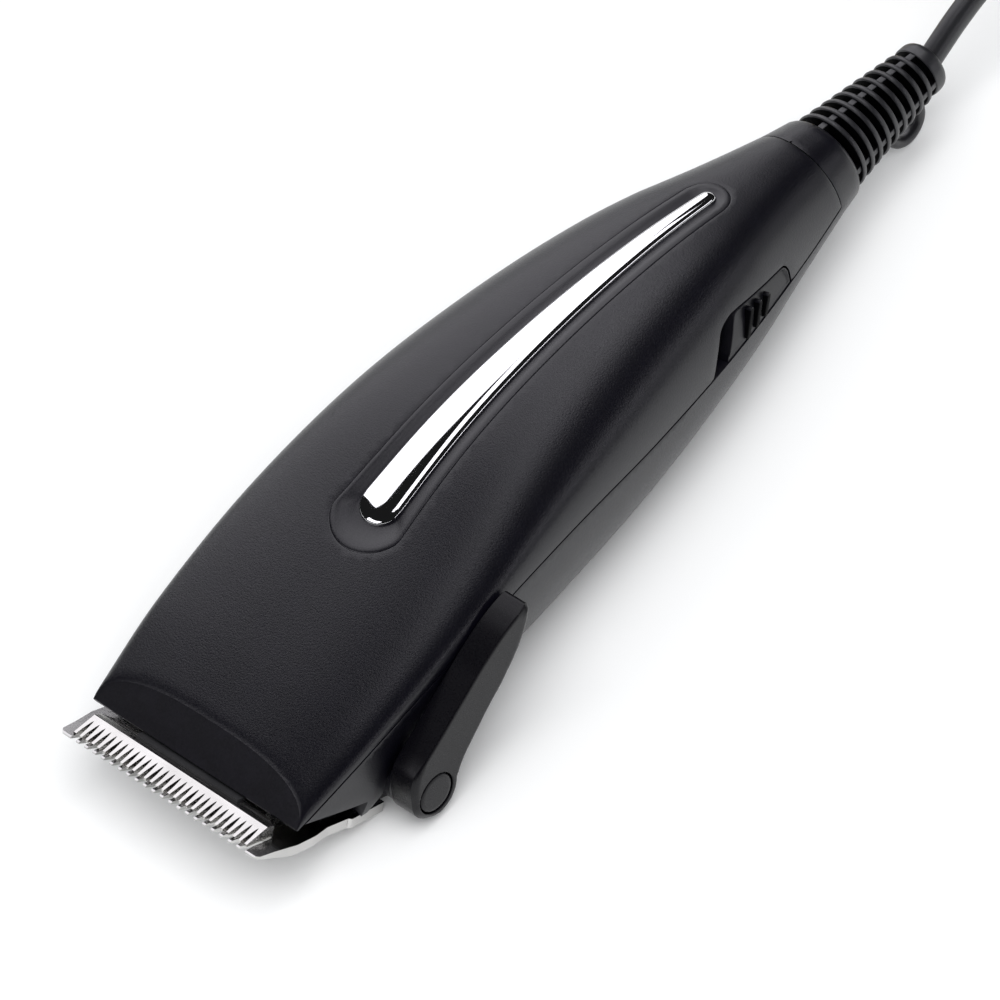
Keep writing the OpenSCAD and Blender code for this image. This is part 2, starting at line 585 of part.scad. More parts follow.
module armature() {
  color([0.45, 0.45, 0.48]) placed() difference() {
    translate([arma_x, core_y, arm_z - core_h + 2]) cube([arma_w, core_len, core_h - 2 - fit]);
    for (y = rivets) translate([arma_x + arma_w / 2, y, 0]) cylinder(r = rivet_r + fit, h = 30);
  }
}
rivet_r = 1.3;
rivets = [core_y + 6, core_y + core_len - 6];
bar_z = 13.2;                   // underside of the arm where it passes under the lip
bar_t = 3.6;
step_y = 39;
module drive_arm() {
  color([0.9, 0.9, 0.86]) {
    placed() difference() {
      union() {
        translate([0, 0, arm_z]) linear_extrude(arm_t) {
          polygon([[arma_x, step_y], [arma_x + arma_w, step_y], [arma_x + arma_w, core_y + core_len],
            [4.6, axle_y], [-4.6, axle_y], [arma_x, core_y + core_len]]);
          translate([0, axle_y]) circle(4.6);
        }
        translate([arma_x, step_y - 3, bar_z]) cube([arma_w, 3.1, arm_z + arm_t - bar_z]);
        translate([0, 0, bar_z]) linear_extrude(bar_t)
          polygon([[-2.2, 6.9], [2.2, 6.9], [2.2, 14], [arma_x + arma_w, step_y], [arma_x, step_y],
            [-2.2, 14]]);
      }
      translate([0, axle_y, 0]) cylinder(r = axle_r + run, h = 40);
      for (y = rivets) translate([arma_x + arma_w / 2, y, 0]) cylinder(r = rivet_r + fit, h = 40);
    }
    blade_frame() translate([0, finger_l, cut_flat + 0.6]) cylinder(r = finger_r, h = 6);
  }
}
module armature_rivets() {
  color([0.7, 0.7, 0.72]) placed() for (y = rivets) translate([arma_x + arma_w / 2, y, 0]) {
    translate([0, 0, arm_z - core_h + 1.4]) cylinder(r = rivet_r + 0.7, h = 0.58);
    translate([0, 0, arm_z - core_h + 1.9]) cylinder(r = rivet_r, h = core_h + arm_t - 1.3);
    translate([0, 0, arm_z + arm_t + fit]) cylinder(r = rivet_r + 0.7, h = 0.6);
  }
}
module arm_axle() {
  color([0.7, 0.7, 0.72]) placed() translate([0, axle_y, motor_z + fit])
    cylinder(r = axle_r - fit, h = arm_z + arm_t + 3.2 - motor_z);
}
module core_screws() {
  color([0.6, 0.6, 0.62]) placed() for (p = core_bolts) translate([p[0], p[1], 5.2]) {
    cylinder(r = screw_r - fit, h = motor_z + core_h - 5);
    translate([0, 0, motor_z + core_h - 5.2 + fit]) cylinder(r = 2.8, h = 1.8);
  }
}
module housing_screws() {
  color([0.3, 0.3, 0.32]) placed() for (p = posts)
  translate([p[0], p[1], belly_z(p[0], p[1]) + 4 - 1.9]) difference() {
    union() {
      cylinder(r = head_r, h = 1.88);
      cylinder(r = screw_r - fit, h = zp(p[1]) + 3.4 - belly_z(p[0], p[1]) - 2.1);
    }
    for (a = [0, 90]) rotate([0, 0, a]) translate([-1.8, -0.4, -1]) cube([3.6, 0.8, 2]);
  }
}

// ---------- wires inside ----------
wire_r = 0.8;
// places along the housing: y0 at k = 0 to the front of the strain relief's flange at k = 1
function rear(y0, k) = y0 + k * (arc_y - 3.3 - y0);
core_end = core_y + core_len;
wire_path = [[-2.2, rear(axle_y, 1), 15], [-3, rear(axle_y, 0.92), 14.6], [-7, rear(axle_y, 0.79), 14],
  [-11, rear(axle_y, 0.63), 13.6], [-12, rear(axle_y, 0.47), 13.2], [-12.6, rear(axle_y, 0.28), 13],
  [-12.6, rear(axle_y, 0.08), 12.6], [-11, core_end + 14, 11.6], [-5, core_end + 9, 10.6],
  [2, core_end + 7, 10.8], [6.4, core_end + 5, 13.4], [8, core_end + 3, 18],
  [8.2, core_end + 0.4, 21.6], [8, core_end - 3, 22.6],
  [7.6, core_end - 6, 22.8], [7.4, mid_y + coil_r0 - 0.2, 22.4]];
sw_rear = sw_y + sw_len - 0.2;
live_path = [[2.2, rear(sw_rear, 1), 15.2], [3, rear(sw_rear, 0.78), 15.4], [5, rear(sw_rear, 0.49), 16],
  [6.6, rear(sw_rear, 0.2), 16.4], [7, sw_rear, 16.6]];
coil_path = [[11.5, sw_y + 0.1, 17.6], [12.2, sw_y - 2.6, 17.2], [12.4, sw_y - 8.6, 16.6],
  [12, core_end + 16, 16.6],
  [11.6, core_end + 8, 18], [11.4, core_end + 2, 21.4], [11, core_end - 1, 23.4], [10.4, core_end - 5, 24.6],
  [9.8, mid_y + coil_r0 - 0.2, 24.6]];
module neutral_wire() { color([0.15, 0.2, 0.6]) placed() tube(wire_path, wire_r, 8); }
module live_wire() { color([0.4, 0.22, 0.12]) placed() tube(live_path, wire_r, 8); }
module coil_wire() { color([0.4, 0.22, 0.12]) placed() tube(coil_path, wire_r, 8); }

// ---------- strain relief and cord ----------
rings = 9;
collar_len = 3.2;
ring_pitch = (relief_len - collar_len - 1.5) / rings;
relief_r0 = 7.7;                // first ring
relief_r1 = 5.0;                // last ring and collar
droop = 1.9;
function ring_r(i) = relief_r0 + (relief_r1 - relief_r0) * i / rings;
loop_r = 5;
loop_y = 20.1;
loop_z = 8.4;
module strain_relief() {
  color([0.06, 0.06, 0.06]) placed() translate([0, body_len, rim_z]) rotate([-90, 0, 0]) {
    translate([0, 0, -ring_len - 0.7 - flange_t]) cylinder(r = flange_r, h = flange_t - fit);
    translate([0, 0, -ring_len - 0.8]) cylinder(r = relief_r - fit, h = ring_len + 1);
    rotate([-droop, 0, 0]) {
      cylinder(r1 = 3.6, r2 = 3, h = relief_len - 1);
      for (i = [0:rings - 1]) translate([0, 0, 1.5 + i * ring_pitch])
        cylinder(r1 = ring_r(i), r2 = ring_r(i + 0.4), h = ring_pitch - 1.5);
      translate([0, 0, relief_len - collar_len]) cylinder(r = relief_r1, h = collar_len - 1);
      translate([0, 0, relief_len - 1]) cylinder(r1 = relief_r1, r2 = relief_r1 - 0.9, h = 1);
      for (a = [0, 90]) rotate([0, 0, a]) rotate([90, 0, 0]) translate([0, 0, -0.6]) linear_extrude(1.2)
        polygon([[-relief_r0 + 0.5, fit], [relief_r0 - 0.5, fit], [relief_r1 - 0.4, relief_len - 2],
          [0.4 - relief_r1, relief_len - 2]]);
      // hanging loop underneath
      rotate([0, 90, 0]) translate([0, 0, -1.2]) linear_extrude(2.4) loop_outline();
    }
  }
}
// in this view X runs back towards the housing and Y runs down
module loop_outline() {
  difference() {
    union() {
      translate([-loop_y, loop_z]) circle(loop_r);
      translate([-loop_y - loop_r, 3]) square([2 * loop_r, loop_z - 3]);
    }
    translate([-loop_y, loop_z]) circle(loop_r - 2);
    translate([-loop_y - loop_r + 2, ring_r(7) + 0.6]) square([2 * loop_r - 4, loop_z - ring_r(7) - 0.6]);
  }
}
// route of the cord from the strain relief to the coil, from the front lip
cord_path = [[0, 187.2, 14.1], [0, 191, 15.7], [0, 196, 17.6], [0, 202, 19.2], [0, 209, 19.8],
  [0.2, 217, 19], [0.8, 225, 16.4], [1.9, 233, 12.6], [3.5, 241, 8.6], [5.3, 248, 5.4], [7.3, 255, 3.2],
  [9.2, 262, 2.3], [10.6, 269, 2.2], [11.3, 276, 2.2], [11.4, 281, 2.2]];
plug_at = [-36.6, 246, 8];
tail_path = [[-43.4, 282, 15.4], [-43.4, 276, 15.4], [-43.1, 269, 14.9], [-42, 263, 13.4],
  [-40.1, 257.5, 11.3], [-38.2, 252.5, 9.4], [-37, 249, 8.3], plug_at];
wraps_r = 3;                    // turns side by side
function route(p, i = 1) = i >= len(p) ? 0 : norm(p[i] - p[i - 1]) + route(p, i + 1);
wraps_z = ceil((cord_len - route(cord_path) - route(tail_path)) / (2 * PI * coil_r * wraps_r));
coil_at = [-16, 286];
module cord() { color([0.05, 0.05, 0.05]) placed() tube(cord_path, cord_d / 2); }
module cord_coil() {
  color([0.05, 0.05, 0.05]) placed() translate(coil_at) rotate_extrude()
    translate([coil_r, wraps_z * cord_d / 2]) slab(wraps_r * cord_d, wraps_z * cord_d, cord_d / 2);
}
module cord_tail() { color([0.05, 0.05, 0.05]) placed() tube(tail_path, cord_d / 2); }
module cord_tie() {
  t = 0.8;
  w = wraps_r * cord_d + 1;
  h = wraps_z * cord_d + 0.2;
  color([0.08, 0.08, 0.08]) placed() translate([coil_at[0], coil_at[1] + coil_r, h / 2]) rotate([90, 0, 90])
    translate([0, 0, -4]) linear_extrude(8) difference() {
      slab(w + 2 * t, h + t, 2);
      slab(w, h, 1.6);
    }
}
plug_w = 20;
plug_h = 16;
plug_len = 26;
module plug_body() {
  color([0.05, 0.05, 0.05]) placed() translate(plug_at) rotate([90, 0, 0]) {
    cylinder(r1 = 3.2, r2 = 4.6, h = 9);
    translate([0, 0, 8]) linear_extrude(plug_len - 8) slab(plug_w, plug_h, 4);
  }
}
module plug_blades() {
  color([0.8, 0.72, 0.5]) placed() translate(plug_at) for (x = [-6.35, 6.35]) difference() {
    translate([x - 0.75, -plug_len - 17, -3.1]) cube([1.5, 17 - fit, 6.2]);
    translate([x - 2, -plug_len - 13.5, 0]) rotate([0, 90, 0]) cylinder(r = 1.6, h = 4);
  }
}

top_shell();
bottom_shell();
trim_panel();
chrome_strip();
comb_blade();
cutter_blade();
cutter_follower();
blade_carrier();
blade_screws();
tension_spring();
comb_link();
taper_lever();
lever_cap();
lever_shaft();
switch_slider();
switch_body();
motor_core();
coil_bobbin();
coil_winding();
armature();
drive_arm();
armature_rivets();
arm_axle();
core_screws();
housing_screws();
neutral_wire();
live_wire();
coil_wire();
strain_relief();
cord();
cord_coil();
cord_tail();
cord_tie();
plug_body();
plug_blades();
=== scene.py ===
"""Looks of the mains hair clipper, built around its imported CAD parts.

Lengths in the tables below are in millimetres and counted from the front lip of the housing, as in the
part's source; at() turns them into the row frame, in metres.
"""
import json
import math

import bmesh
import bpy
import numpy as np
from mathutils import Matrix, Vector
from mathutils.geometry import delaunay_2d_cdt


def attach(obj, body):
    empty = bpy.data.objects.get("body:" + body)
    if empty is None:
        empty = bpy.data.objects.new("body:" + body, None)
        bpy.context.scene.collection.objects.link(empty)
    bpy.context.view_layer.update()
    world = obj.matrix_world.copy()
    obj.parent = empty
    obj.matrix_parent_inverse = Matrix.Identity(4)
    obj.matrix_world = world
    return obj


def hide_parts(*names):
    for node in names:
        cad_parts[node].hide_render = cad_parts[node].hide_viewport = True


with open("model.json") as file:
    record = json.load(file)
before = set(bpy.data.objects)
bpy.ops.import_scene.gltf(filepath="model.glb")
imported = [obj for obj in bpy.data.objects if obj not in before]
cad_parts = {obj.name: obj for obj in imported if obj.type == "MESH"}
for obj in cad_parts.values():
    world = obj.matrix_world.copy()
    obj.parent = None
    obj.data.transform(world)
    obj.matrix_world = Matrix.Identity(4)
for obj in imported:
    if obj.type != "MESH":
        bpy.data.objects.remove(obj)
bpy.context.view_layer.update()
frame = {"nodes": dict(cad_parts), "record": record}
nodes = frame["nodes"]
scene = bpy.context.scene

MM_PER_M = 1000
BELLY_Y = 50.0                  # the row frame's origin, from the front lip


def at(x, y, z):
    """A point in millimetres from the front lip, as metres in the row frame."""
    return Vector((x / MM_PER_M, (y - BELLY_Y) / MM_PER_M, z / MM_PER_M))


# ---------- materials ----------
class Nodes:
    """A material's node tree, with short calls to add and join nodes."""

    def __init__(self, name):
        self.mat = bpy.data.materials.new(name)
        self.mat.use_nodes = True
        self.tree = self.mat.node_tree
        self.shader = self.tree.nodes["Principled BSDF"]
        self.place = self.tree.nodes.new("ShaderNodeTexCoord").outputs["Object"]

    def add(self, kind, inputs=(), **props):
        node = self.tree.nodes.new(kind)
        for key, value in props.items():
            setattr(node, key, value)
        for key, value in dict(inputs).items():
            if hasattr(value, "is_linked"):
                self.tree.links.new(value, node.inputs[key])
            else:
                node.inputs[key].default_value = value
        return node

    def scaled(self, scale):
        return self.add("ShaderNodeMapping", {"Vector": self.place, "Scale": scale}).outputs["Vector"]

    def noise(self, scale, detail=2.0, rough=0.5, stretch=(1, 1, 1)):
        return self.add(
            "ShaderNodeTexNoise",
            {"Vector": self.scaled(stretch), "Scale": scale, "Detail": detail, "Roughness": rough},
        ).outputs["Fac"]

    def span(self, value, low, high, a=0.3, b=0.7):
        return self.add(
            "ShaderNodeMapRange",
            {"Value": value, "From Min": a, "From Max": b, "To Min": low, "To Max": high},
        ).outputs["Result"]

    def mix(self, factor, one, two):
        node = self.add("ShaderNodeMix", {0: factor, 6: (*one, 1.0), 7: (*two, 1.0)}, data_type="RGBA")
        return node.outputs[2]

    def bump(self, height, distance, strength=1.0, normal=None):
        inputs = {"Height": height, "Distance": distance, "Strength": strength}
        if normal is not None:
            inputs["Normal"] = normal
        return self.add("ShaderNodeBump", inputs).outputs["Normal"]

    def set(self, **sockets):
        for key, value in sockets.items():
            socket = self.shader.inputs[key.replace("_", " ")]
            if hasattr(value, "is_linked"):
                self.tree.links.new(value, socket)
            else:
                socket.default_value = value
        return self.mat


def tint(colour, k):
    return tuple(min(1.0, c * k) for c in colour)


def plastic(name, colour, rough, grain=0.35, bump=0.00003, mottle=0.12, level=0.5):
    """Moulded plastic: a spark-eroded skin with grains of about grain mm, faintly uneven in tone and gloss."""
    n = Nodes(name)
    cloud = n.noise(70, 4, 0.6)
    skin = n.noise(MM_PER_M / grain, 2, 0.55)
    gloss = n.noise(300, 3)
    rub = n.add("ShaderNodeMath", {0: cloud, 1: n.span(gloss, 0, 1)}, operation="MULTIPLY").outputs[0]
    colour_out = n.mix(n.span(rub, 0, 1, 0.1, 0.6), tint(colour, 1 - mottle), tint(colour, 1 + mottle))
    return n.set(
        Base_Color=colour_out,
        Roughness=n.span(skin, rough - 0.05, rough + 0.06),
        Normal=n.bump(skin, bump),
        Specular_IOR_Level=level,
    )


def steel(name, colour, rough, stretch=(1, 1, 1), scale=900, bump=0.000004):
    """Ground metal with fine lines drawn out where stretch is small, and slightly smeared gloss."""
    n = Nodes(name)
    lines = n.noise(scale, 3, 0.6, stretch)
    smear = n.noise(160, 3)
    colour_out = n.mix(n.span(smear, 0, 1), tint(colour, 0.92), tint(colour, 1.05))
    return n.set(
        Base_Color=colour_out,
        Metallic=1.0,
        Roughness=n.span(lines, rough * 0.8, rough * 1.25),
        Normal=n.bump(lines, bump),
    )


MATS = {
    "shell_black": plastic("shell_black", (0.0022, 0.0020, 0.0052), 0.34, 0.3, 0.000035, 0.1, 0.55),
    "bezel_black": plastic("bezel_black", (0.0036, 0.0032, 0.0062), 0.5, 0.5, 0.00006, 0.25, 0.2),
    "panel_black": plastic("panel_black", (0.0040, 0.0036, 0.0068), 0.34, 0.22, 0.000012, 0.1, 0.62),
    "chrome_trim": steel("chrome_trim", (0.93, 0.935, 0.94), 0.045, (1, 1, 1), 500, 0.0000006),
    # the comb's steel is kept a little darker than the cutter's: partly its own tone, partly painted shade for
    # the comb's face lying under the cutter
    "comb_steel": steel("comb_steel", (0.56, 0.555, 0.545), 0.17, (1, 0.05, 1), 2600, 0.0000004),
    "cutter_steel": steel("cutter_steel", (0.62, 0.61, 0.59), 0.24, (0.05, 1, 1), 2600, 0.0000004),
    "lever_black": plastic("lever_black", (0.0022, 0.0020, 0.0034), 0.3, 0.3, 0.000003, 0.05, 0.26),
    "switch_black": plastic("switch_black", (0.0036, 0.0034, 0.0056), 0.34, 0.25, 0.00001, 0.1, 0.42),
    # a darker black that barely shines: painted shade, given to the inside of the switch slot, the slider's
    # grip ribs and the gaps between the relief's rings
    "painted_shade_black": plastic("painted_shade_black", (0.0012, 0.0012, 0.0016), 0.5, 0.25, 0.00001, 0.1, 0.06),
    "rubber_black": plastic("rubber_black", (0.009, 0.009, 0.0115), 0.4, 0.3, 0.00002, 0.12, 0.8),
    "inner_plastic": plastic("inner_plastic", (0.68, 0.66, 0.6), 0.45, 0.3, 0.00002, 0.05),
    "inner_black": plastic("inner_black", (0.02, 0.02, 0.022), 0.5, 0.3, 0.00002),
    "bright_steel": steel("bright_steel", (0.6, 0.6, 0.61), 0.28, (1, 1, 1), 1500),
    "core_steel": steel("core_steel", (0.3, 0.3, 0.31), 0.4, (0.05, 0.05, 1), 2000, 0.00003),
    "copper_wire": steel("copper_wire", (0.72, 0.32, 0.14), 0.3, (0.03, 1, 1), 2500, 0.00006),
    "wire_blue": plastic("wire_blue", (0.03, 0.06, 0.35), 0.4, 0.4),
    "wire_brown": plastic("wire_brown", (0.12, 0.05, 0.02), 0.4, 0.4),
    "plug_brass": steel("plug_brass", (0.8, 0.62, 0.3), 0.25, (1, 0.08, 1), 1800),
}


def paint(obj, name):
    """Gives the piece the one material of that slot of the record."""
    obj.data.materials.clear()
    obj.data.materials.append(MATS[name])


for part in frame["record"]["subparts"]:
    paint(nodes[part["node"]], part["material_slot"])

# the blades keep their CAD meshes, with their edges broken
for name, width in (("comb_blade", 0.1), ("cutter_blade", 0.07)):
    bevel = nodes[name].modifiers.new("edges", "BEVEL")
    bevel.width = width / MM_PER_M
    bevel.segments = 2
    bevel.limit_method = "ANGLE"
    bevel.angle_limit = math.radians(25)


# ---------- shape of the housing ----------
# the same numbers as in the part's source: shares of the length, half width and height at eight stations
LENGTH, HALF_W, BODY_H, WALL = 159.4, 26.1, 35.8, 2.2
RIM_R, RIM_Z, TAIL_BORE, SQUARE = 8.4, 15.0, 5.22, 2.7
ARC_Y = LENGTH - 7.2
LIP_Z, BEZEL = 14.48, math.tan(math.radians(42))
BLADE, TIP_Y, TIP_Z = math.radians(27.8), 8.42, 15.67
STATIONS = [s * LENGTH for s in (0, 0.12, 0.275, 0.425, 0.575, 0.73, 0.88, 1)]
WIDTHS = (0.904, 0.977, 1, 0.958, 0.866, 0.713, 0.49, RIM_R / HALF_W)
TOPS = (0.506, 0.66, 0.832, 0.972, 1, 0.936, 0.79, (RIM_Z + RIM_R) / BODY_H)
PARTINGS = (0.391, 0.525, 0.634, 0.648, 0.581, 0.503, 0.419, RIM_Z / BODY_H)
BOTTOMS = (-0.01, -0.01, -0.01, -0.004, 0.036, 0.128, 0.2, (RIM_Z - RIM_R) / BODY_H)


def curve(y, v):
    """The smooth curve through the values v at the stations."""
    i = 0
    while i < 6 and y >= STATIONS[i + 1]:
        i += 1

    def slope(k):
        a, b = max(k - 1, 0), min(k + 1, 7)
        return (v[b] - v[a]) / (STATIONS[b] - STATIONS[a])

    h = STATIONS[i + 1] - STATIONS[i]
    t = (y - STATIONS[i]) / h
    return (
        (2 * t**3 - 3 * t * t + 1) * v[i] + (t**3 - 2 * t * t + t) * slope(i) * h
        + (3 * t * t - 2 * t**3) * v[i + 1] + (t**3 - t * t) * slope(i + 1) * h
    )


def half_width(y):
    return HALF_W * curve(y, WIDTHS)


def z_top(y):
    return BODY_H * curve(y, TOPS)


def z_part(y):
    return BODY_H * curve(y, PARTINGS)


def z_low(y):
    return BODY_H * curve(y, BOTTOMS)


def ramp(y, y0, y1, a, b):
    return a + (b - a) * min(1.0, max(0.0, (y - y0) / (y1 - y0)))


def square_top(y):
    return ramp(y, 0.8 * LENGTH, 0.96 * LENGTH, SQUARE, 2)


def square_low(y):
    return ramp(y, 14, 24, SQUARE + 2.3, SQUARE) if y < 40 else square_top(y)


def section(y, a, d=0.0):
    """The housing's surface at y and angle a, pulled in by d. Angle 0 is the parting line on the right."""
    c, s = math.cos(a), math.sin(a)
    p = square_top(y) if s >= 0 else square_low(y)
    k = (abs(c) ** p + abs(s) ** p) ** (-1 / p)
    h = z_top(y) - z_part(y) if s >= 0 else z_part(y) - z_low(y)
    return (half_width(y) - d) * k * c, y, z_part(y) + (h - d) * k * s


def back_z(x, y):
    """Height of the back over the place (x, y)."""
    p, u = square_top(y), min(1.0, abs(x) / half_width(y))
    return z_part(y) + (z_top(y) - z_part(y)) * (1 - u**p) ** (1 / p)


def belly_z(x, y):
    """Height of the underside under the place (x, y)."""
    p, u = square_low(y), min(1.0, abs(x) / half_width(y))
    return z_part(y) - (z_part(y) - z_low(y)) * (1 - u**p) ** (1 / p)


def angle_at(y, z, side=1):
    """The angle of the section at y where it has the height z; side is 1 on the right and -1 on the left."""
    up = z >= z_part(y)
    p = square_top(y) if up else square_low(y)
    h = z_top(y) - z_part(y) if up else z_part(y) - z_low(y)
    s = min(1.0, abs(z - z_part(y)) / h)
    a = math.atan2(s, (1 - s**p) ** (1 / p))
    a = a if up else -a
    return a if side > 0 else math.pi - a


def angle_over(x, y, up=True):
    """The angle of the section's upper or lower half at y over the place x."""
    p = square_top(y) if up else square_low(y)
    u = min(1.0, abs(x) / half_width(y))
    a = math.atan2((1 - u**p) ** (1 / p), u)
    a = a if up else -a
    return a if x >= 0 else math.pi - a


def soft_min(a, b, k):
    """The smaller of a and b, rounded over where they are less than k apart."""
    h = max(k - abs(a - b), 0) / k
    return min(a, b) - h * h * k / 4


# ---------- meshes ----------
def piece(name, verts, faces, material, body, stands_for=(), sharp=32, merge=0.0):
    """A closed mesh, given in millimetres from the front lip, as a piece that rides on a body."""
    mesh = bpy.data.meshes.new(name)
    mesh.from_pydata([at(*v) for v in verts], [], faces)
    bm = bmesh.new()
    bm.from_mesh(mesh)
    bmesh.ops.remove_doubles(bm, verts=bm.verts, dist=max(merge, 1e-4) / MM_PER_M)
    bmesh.ops.dissolve_degenerate(bm, edges=bm.edges, dist=1e-8)
    bmesh.ops.recalc_face_normals(bm, faces=bm.faces)
    bm.to_mesh(mesh)
    bm.free()
    for poly in mesh.polygons:
        poly.use_smooth = True
    mesh.set_sharp_from_angle(angle=math.radians(sharp))
    obj = bpy.data.objects.new(name, mesh)
    scene.collection.objects.link(obj)
    paint(obj, material)
    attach(obj, body)
    if stands_for:
        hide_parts(*stands_for)
    return obj


def second_material(obj, name, test):
    """Gives the faces whose middle passes the test another material."""
    obj.data.materials.append(MATS[name])
    for face in obj.data.polygons:
        c = obj.matrix_world @ face.center
        if test((c.x * MM_PER_M, c.y * MM_PER_M + BELLY_Y, c.z * MM_PER_M)):
            face.material_index = len(obj.data.materials) - 1


def inside(poly, x, y):
    """Which of the points lie inside the closed outline."""
    poly = np.asarray(poly)
    hit = np.zeros(len(x), bool)
    x0, y0 = poly[:, 0], poly[:, 1]
    x1, y1 = np.roll(x0, -1), np.roll(y0, -1)
    for i in range(len(poly)):
        if y0[i] != y1[i]:
            cross = ((y0[i] > y) != (y1[i] > y)) & (
                x < (x1[i] - x0[i]) * (y - y0[i]) / (y1[i] - y0[i]) + x0[i]
            )
            hit ^= cross
    return hit


def cover(border, lines, spacing):
    """Triangles over the region inside border, with edges along the given (points, closed) lines."""
    points, edges = [], []
    for pts, closed in [(border, True)] + list(lines):
        first = len(points)
        points += [tuple(p) for p in pts]
        n = len(pts)
        edges += [(first + i, first + (i + 1) % n) for i in range(n if closed else n - 1)]
    fixed = np.array(points)
    lo, hi = fixed.min(0), fixed.max(0)
    rows = np.arange(lo[1] + spacing / 2, hi[1], spacing * 0.87)
    grid = np.array([
        (x + (spacing / 2 if j % 2 else 0), y)
        for j, y in enumerate(rows) for x in np.arange(lo[0], hi[0], spacing)
    ])
    grid = grid[inside(border, grid[:, 0], grid[:, 1])]
    near = np.full(len(grid), 1e9)
    for a in range(0, len(fixed), 200):
        d = grid[:, None, :] - fixed[None, a:a + 200, :]
        near = np.minimum(near, (d * d).sum(2).min(1))
    grid = grid[near > (0.5 * spacing) ** 2]
    coords = [Vector(p) for p in points] + [Vector(p) for p in grid]
    verts, _, tris, source, _, _ = delaunay_2d_cdt(coords, edges, [], 0, 1e-5)
    flat = np.array([tuple(v) for v in verts])
    tris = np.array([t for t in tris if len(t) == 3])
    mid = flat[tris].mean(1)
    tris = tris[inside(border, mid[:, 0], mid[:, 1])]
    where = {}
    for new, olds in enumerate(source):
        for old in olds:
            where[old] = new
    return flat, tris.tolist(), [where[i] for i in range(len(border))]


def shell(border, outer_lines, inner_lines, outer, inner, spacing, open_rim=()):
    """Vertices and faces of a wall: both faces' covers, joined along the border but for the open_rim spans."""
    flat, tris, rim = cover(border, outer_lines, spacing)
    verts = [outer(*p) for p in flat]
    faces = [tuple(t) for t in tris]
    flat_in, tris_in, rim_in = cover(border, inner_lines, spacing * 3)
    n = len(verts)
    verts += [inner(*p) for p in flat_in]
    faces += [tuple(n + i for i in reversed(t)) for t in tris_in]
    for i in range(len(border)):
        if i not in open_rim:
            j = (i + 1) % len(border)
            faces.append((rim[i], n + rim_in[i], n + rim_in[j], rim[j]))
    return verts, faces


def resample(points, step, closed=False):
    """The polyline with a point about every step, keeping its corners."""
    out = []
    pts = list(points) + ([points[0]] if closed else [])
    for a, b in zip(pts, pts[1:]):
        n = max(1, math.ceil(math.dist(a, b) / step))
        out += [(a[0] + (b[0] - a[0]) * k / n, a[1] + (b[1] - a[1]) * k / n) for k in range(n)]
    if not closed:
        out.append(tuple(pts[-1]))
    return out


def offset(points, d, closed=True):
    """The polyline moved by d to its left."""
    p = np.asarray(points, float)
    if closed:
        t = np.roll(p, -1, 0) - np.roll(p, 1, 0)
    else:
        t = np.gradient(p, axis=0)
    t /= np.maximum(np.linalg.norm(t, axis=1), 1e-9)[:, None]
    return [tuple(q) for q in p + d * np.stack([-t[:, 1], t[:, 0]], 1)]


def winding(outline):
    """1 for an anticlockwise outline and -1 for a clockwise one."""
    area = sum(a[0] * b[1] - b[0] * a[1] for a, b in zip(outline, outline[1:] + outline[:1]))
    return 1 if area > 0 else -1


def rounded(points, radius, n=5):
    """The open polyline with its inner corners rounded."""
    out = [points[0]]
    for a, b, c in zip(points, points[1:], points[2:]):
        a, b, c = Vector(a), Vector(b), Vector(c)
        u, v = (a - b), (c - b)
        r = min(radius, 0.45 * u.length, 0.45 * v.length)
        p, q = b + u.normalized() * r, b + v.normalized() * r
        for k in range(n + 1):
            t = k / n
            out.append(tuple((1 - t) ** 2 * p + 2 * t * (1 - t) * b + t * t * q))
    out.append(points[-1])
    return out


def ring_faces(rows, n):
    """Faces between rows of n vertices each, every row closed on itself."""
    faces = []
    for k in range(rows - 1):
        for i in range(n):
            j = (i + 1) % n
            faces.append((k * n + i, k * n + j, (k + 1) * n + j, (k + 1) * n + i))
    return faces


def across_faces(n, base=0):
    """Faces that close a symmetric ring of n vertices, which starts at base, straight across."""
    faces = []
    for i in range(n // 2):
        face = list(dict.fromkeys([base + i, base + i + 1, base + (n - i - 1) % n, base + (n - i) % n]))
        if len(face) > 2:
            faces.append(tuple(face))
    return faces


class Near:
    """Distance from points to a polyline, by its samples."""

    def __init__(self, points, closed=True, step=0.15):
        self.p = np.array(resample(points, step, closed))

    def __call__(self, x, y):
        return math.sqrt(((self.p - (x, y)) ** 2).sum(1).min())


# ---------- trim lanes ----------
def lane_width(y, y0, y1, r0, r1, flare):
    """Half width at y of a lane from y0 to y1, with end radii r0 and r1 and a waist flared in front."""
    t = (y - y0) / (y1 - y0)
    w = r0 - flare + (r1 - r0 + flare) * t + flare * math.exp(-9 * t)
    if y < y0 + r0:
        return soft_min(w, math.sqrt(max(0.0, r0 * r0 - (y0 + r0 - y) ** 2)), 0.5)
    if y > y1 - r1:
        return soft_min(w, math.sqrt(max(0.0, r1 * r1 - (y - y1 + r1) ** 2)), 0.15)
    return w


def lane_outline(y0, y1, r0, r1, flare, n_end=14, n_side=60):
    """Right half of the outline, from the front tip to the rear tip, as (x, y)."""
    ys = [y0 + r0 * (1 - math.cos(math.pi / 2 * i / n_end)) for i in range(n_end)]
    ys += [y0 + r0 + (y1 - y0 - r0 - r1) * i / n_side for i in range(n_side)]
    ys += [y1 - r1 * (1 - math.cos(math.pi / 2 * (n_end - i) / n_end)) for i in range(n_end + 1)]
    out = []
    for i, y in enumerate(ys):
        w = 0.0 if i in (0, len(ys) - 1) else max(0.02, lane_width(y, y0, y1, r0, r1, flare))
        out.append((w, y))
    return out


INLAY = (40.6, 135.4, 8.0, 4.2, 1.1)        # front and rear end, their radii, and the flare
STRIP = (46.2, 133.2, 4.2, 1.5, 0.0)
inlay_half = lane_outline(*INLAY)
strip_half = lane_outline(*STRIP)


def whole_outline(half):
    """The closed outline of which half is the right side."""
    return half + [(-x, y) for x, y in half[-2:0:-1]]


inlay_loop = whole_outline(inlay_half)
POCKET_D = 1.3


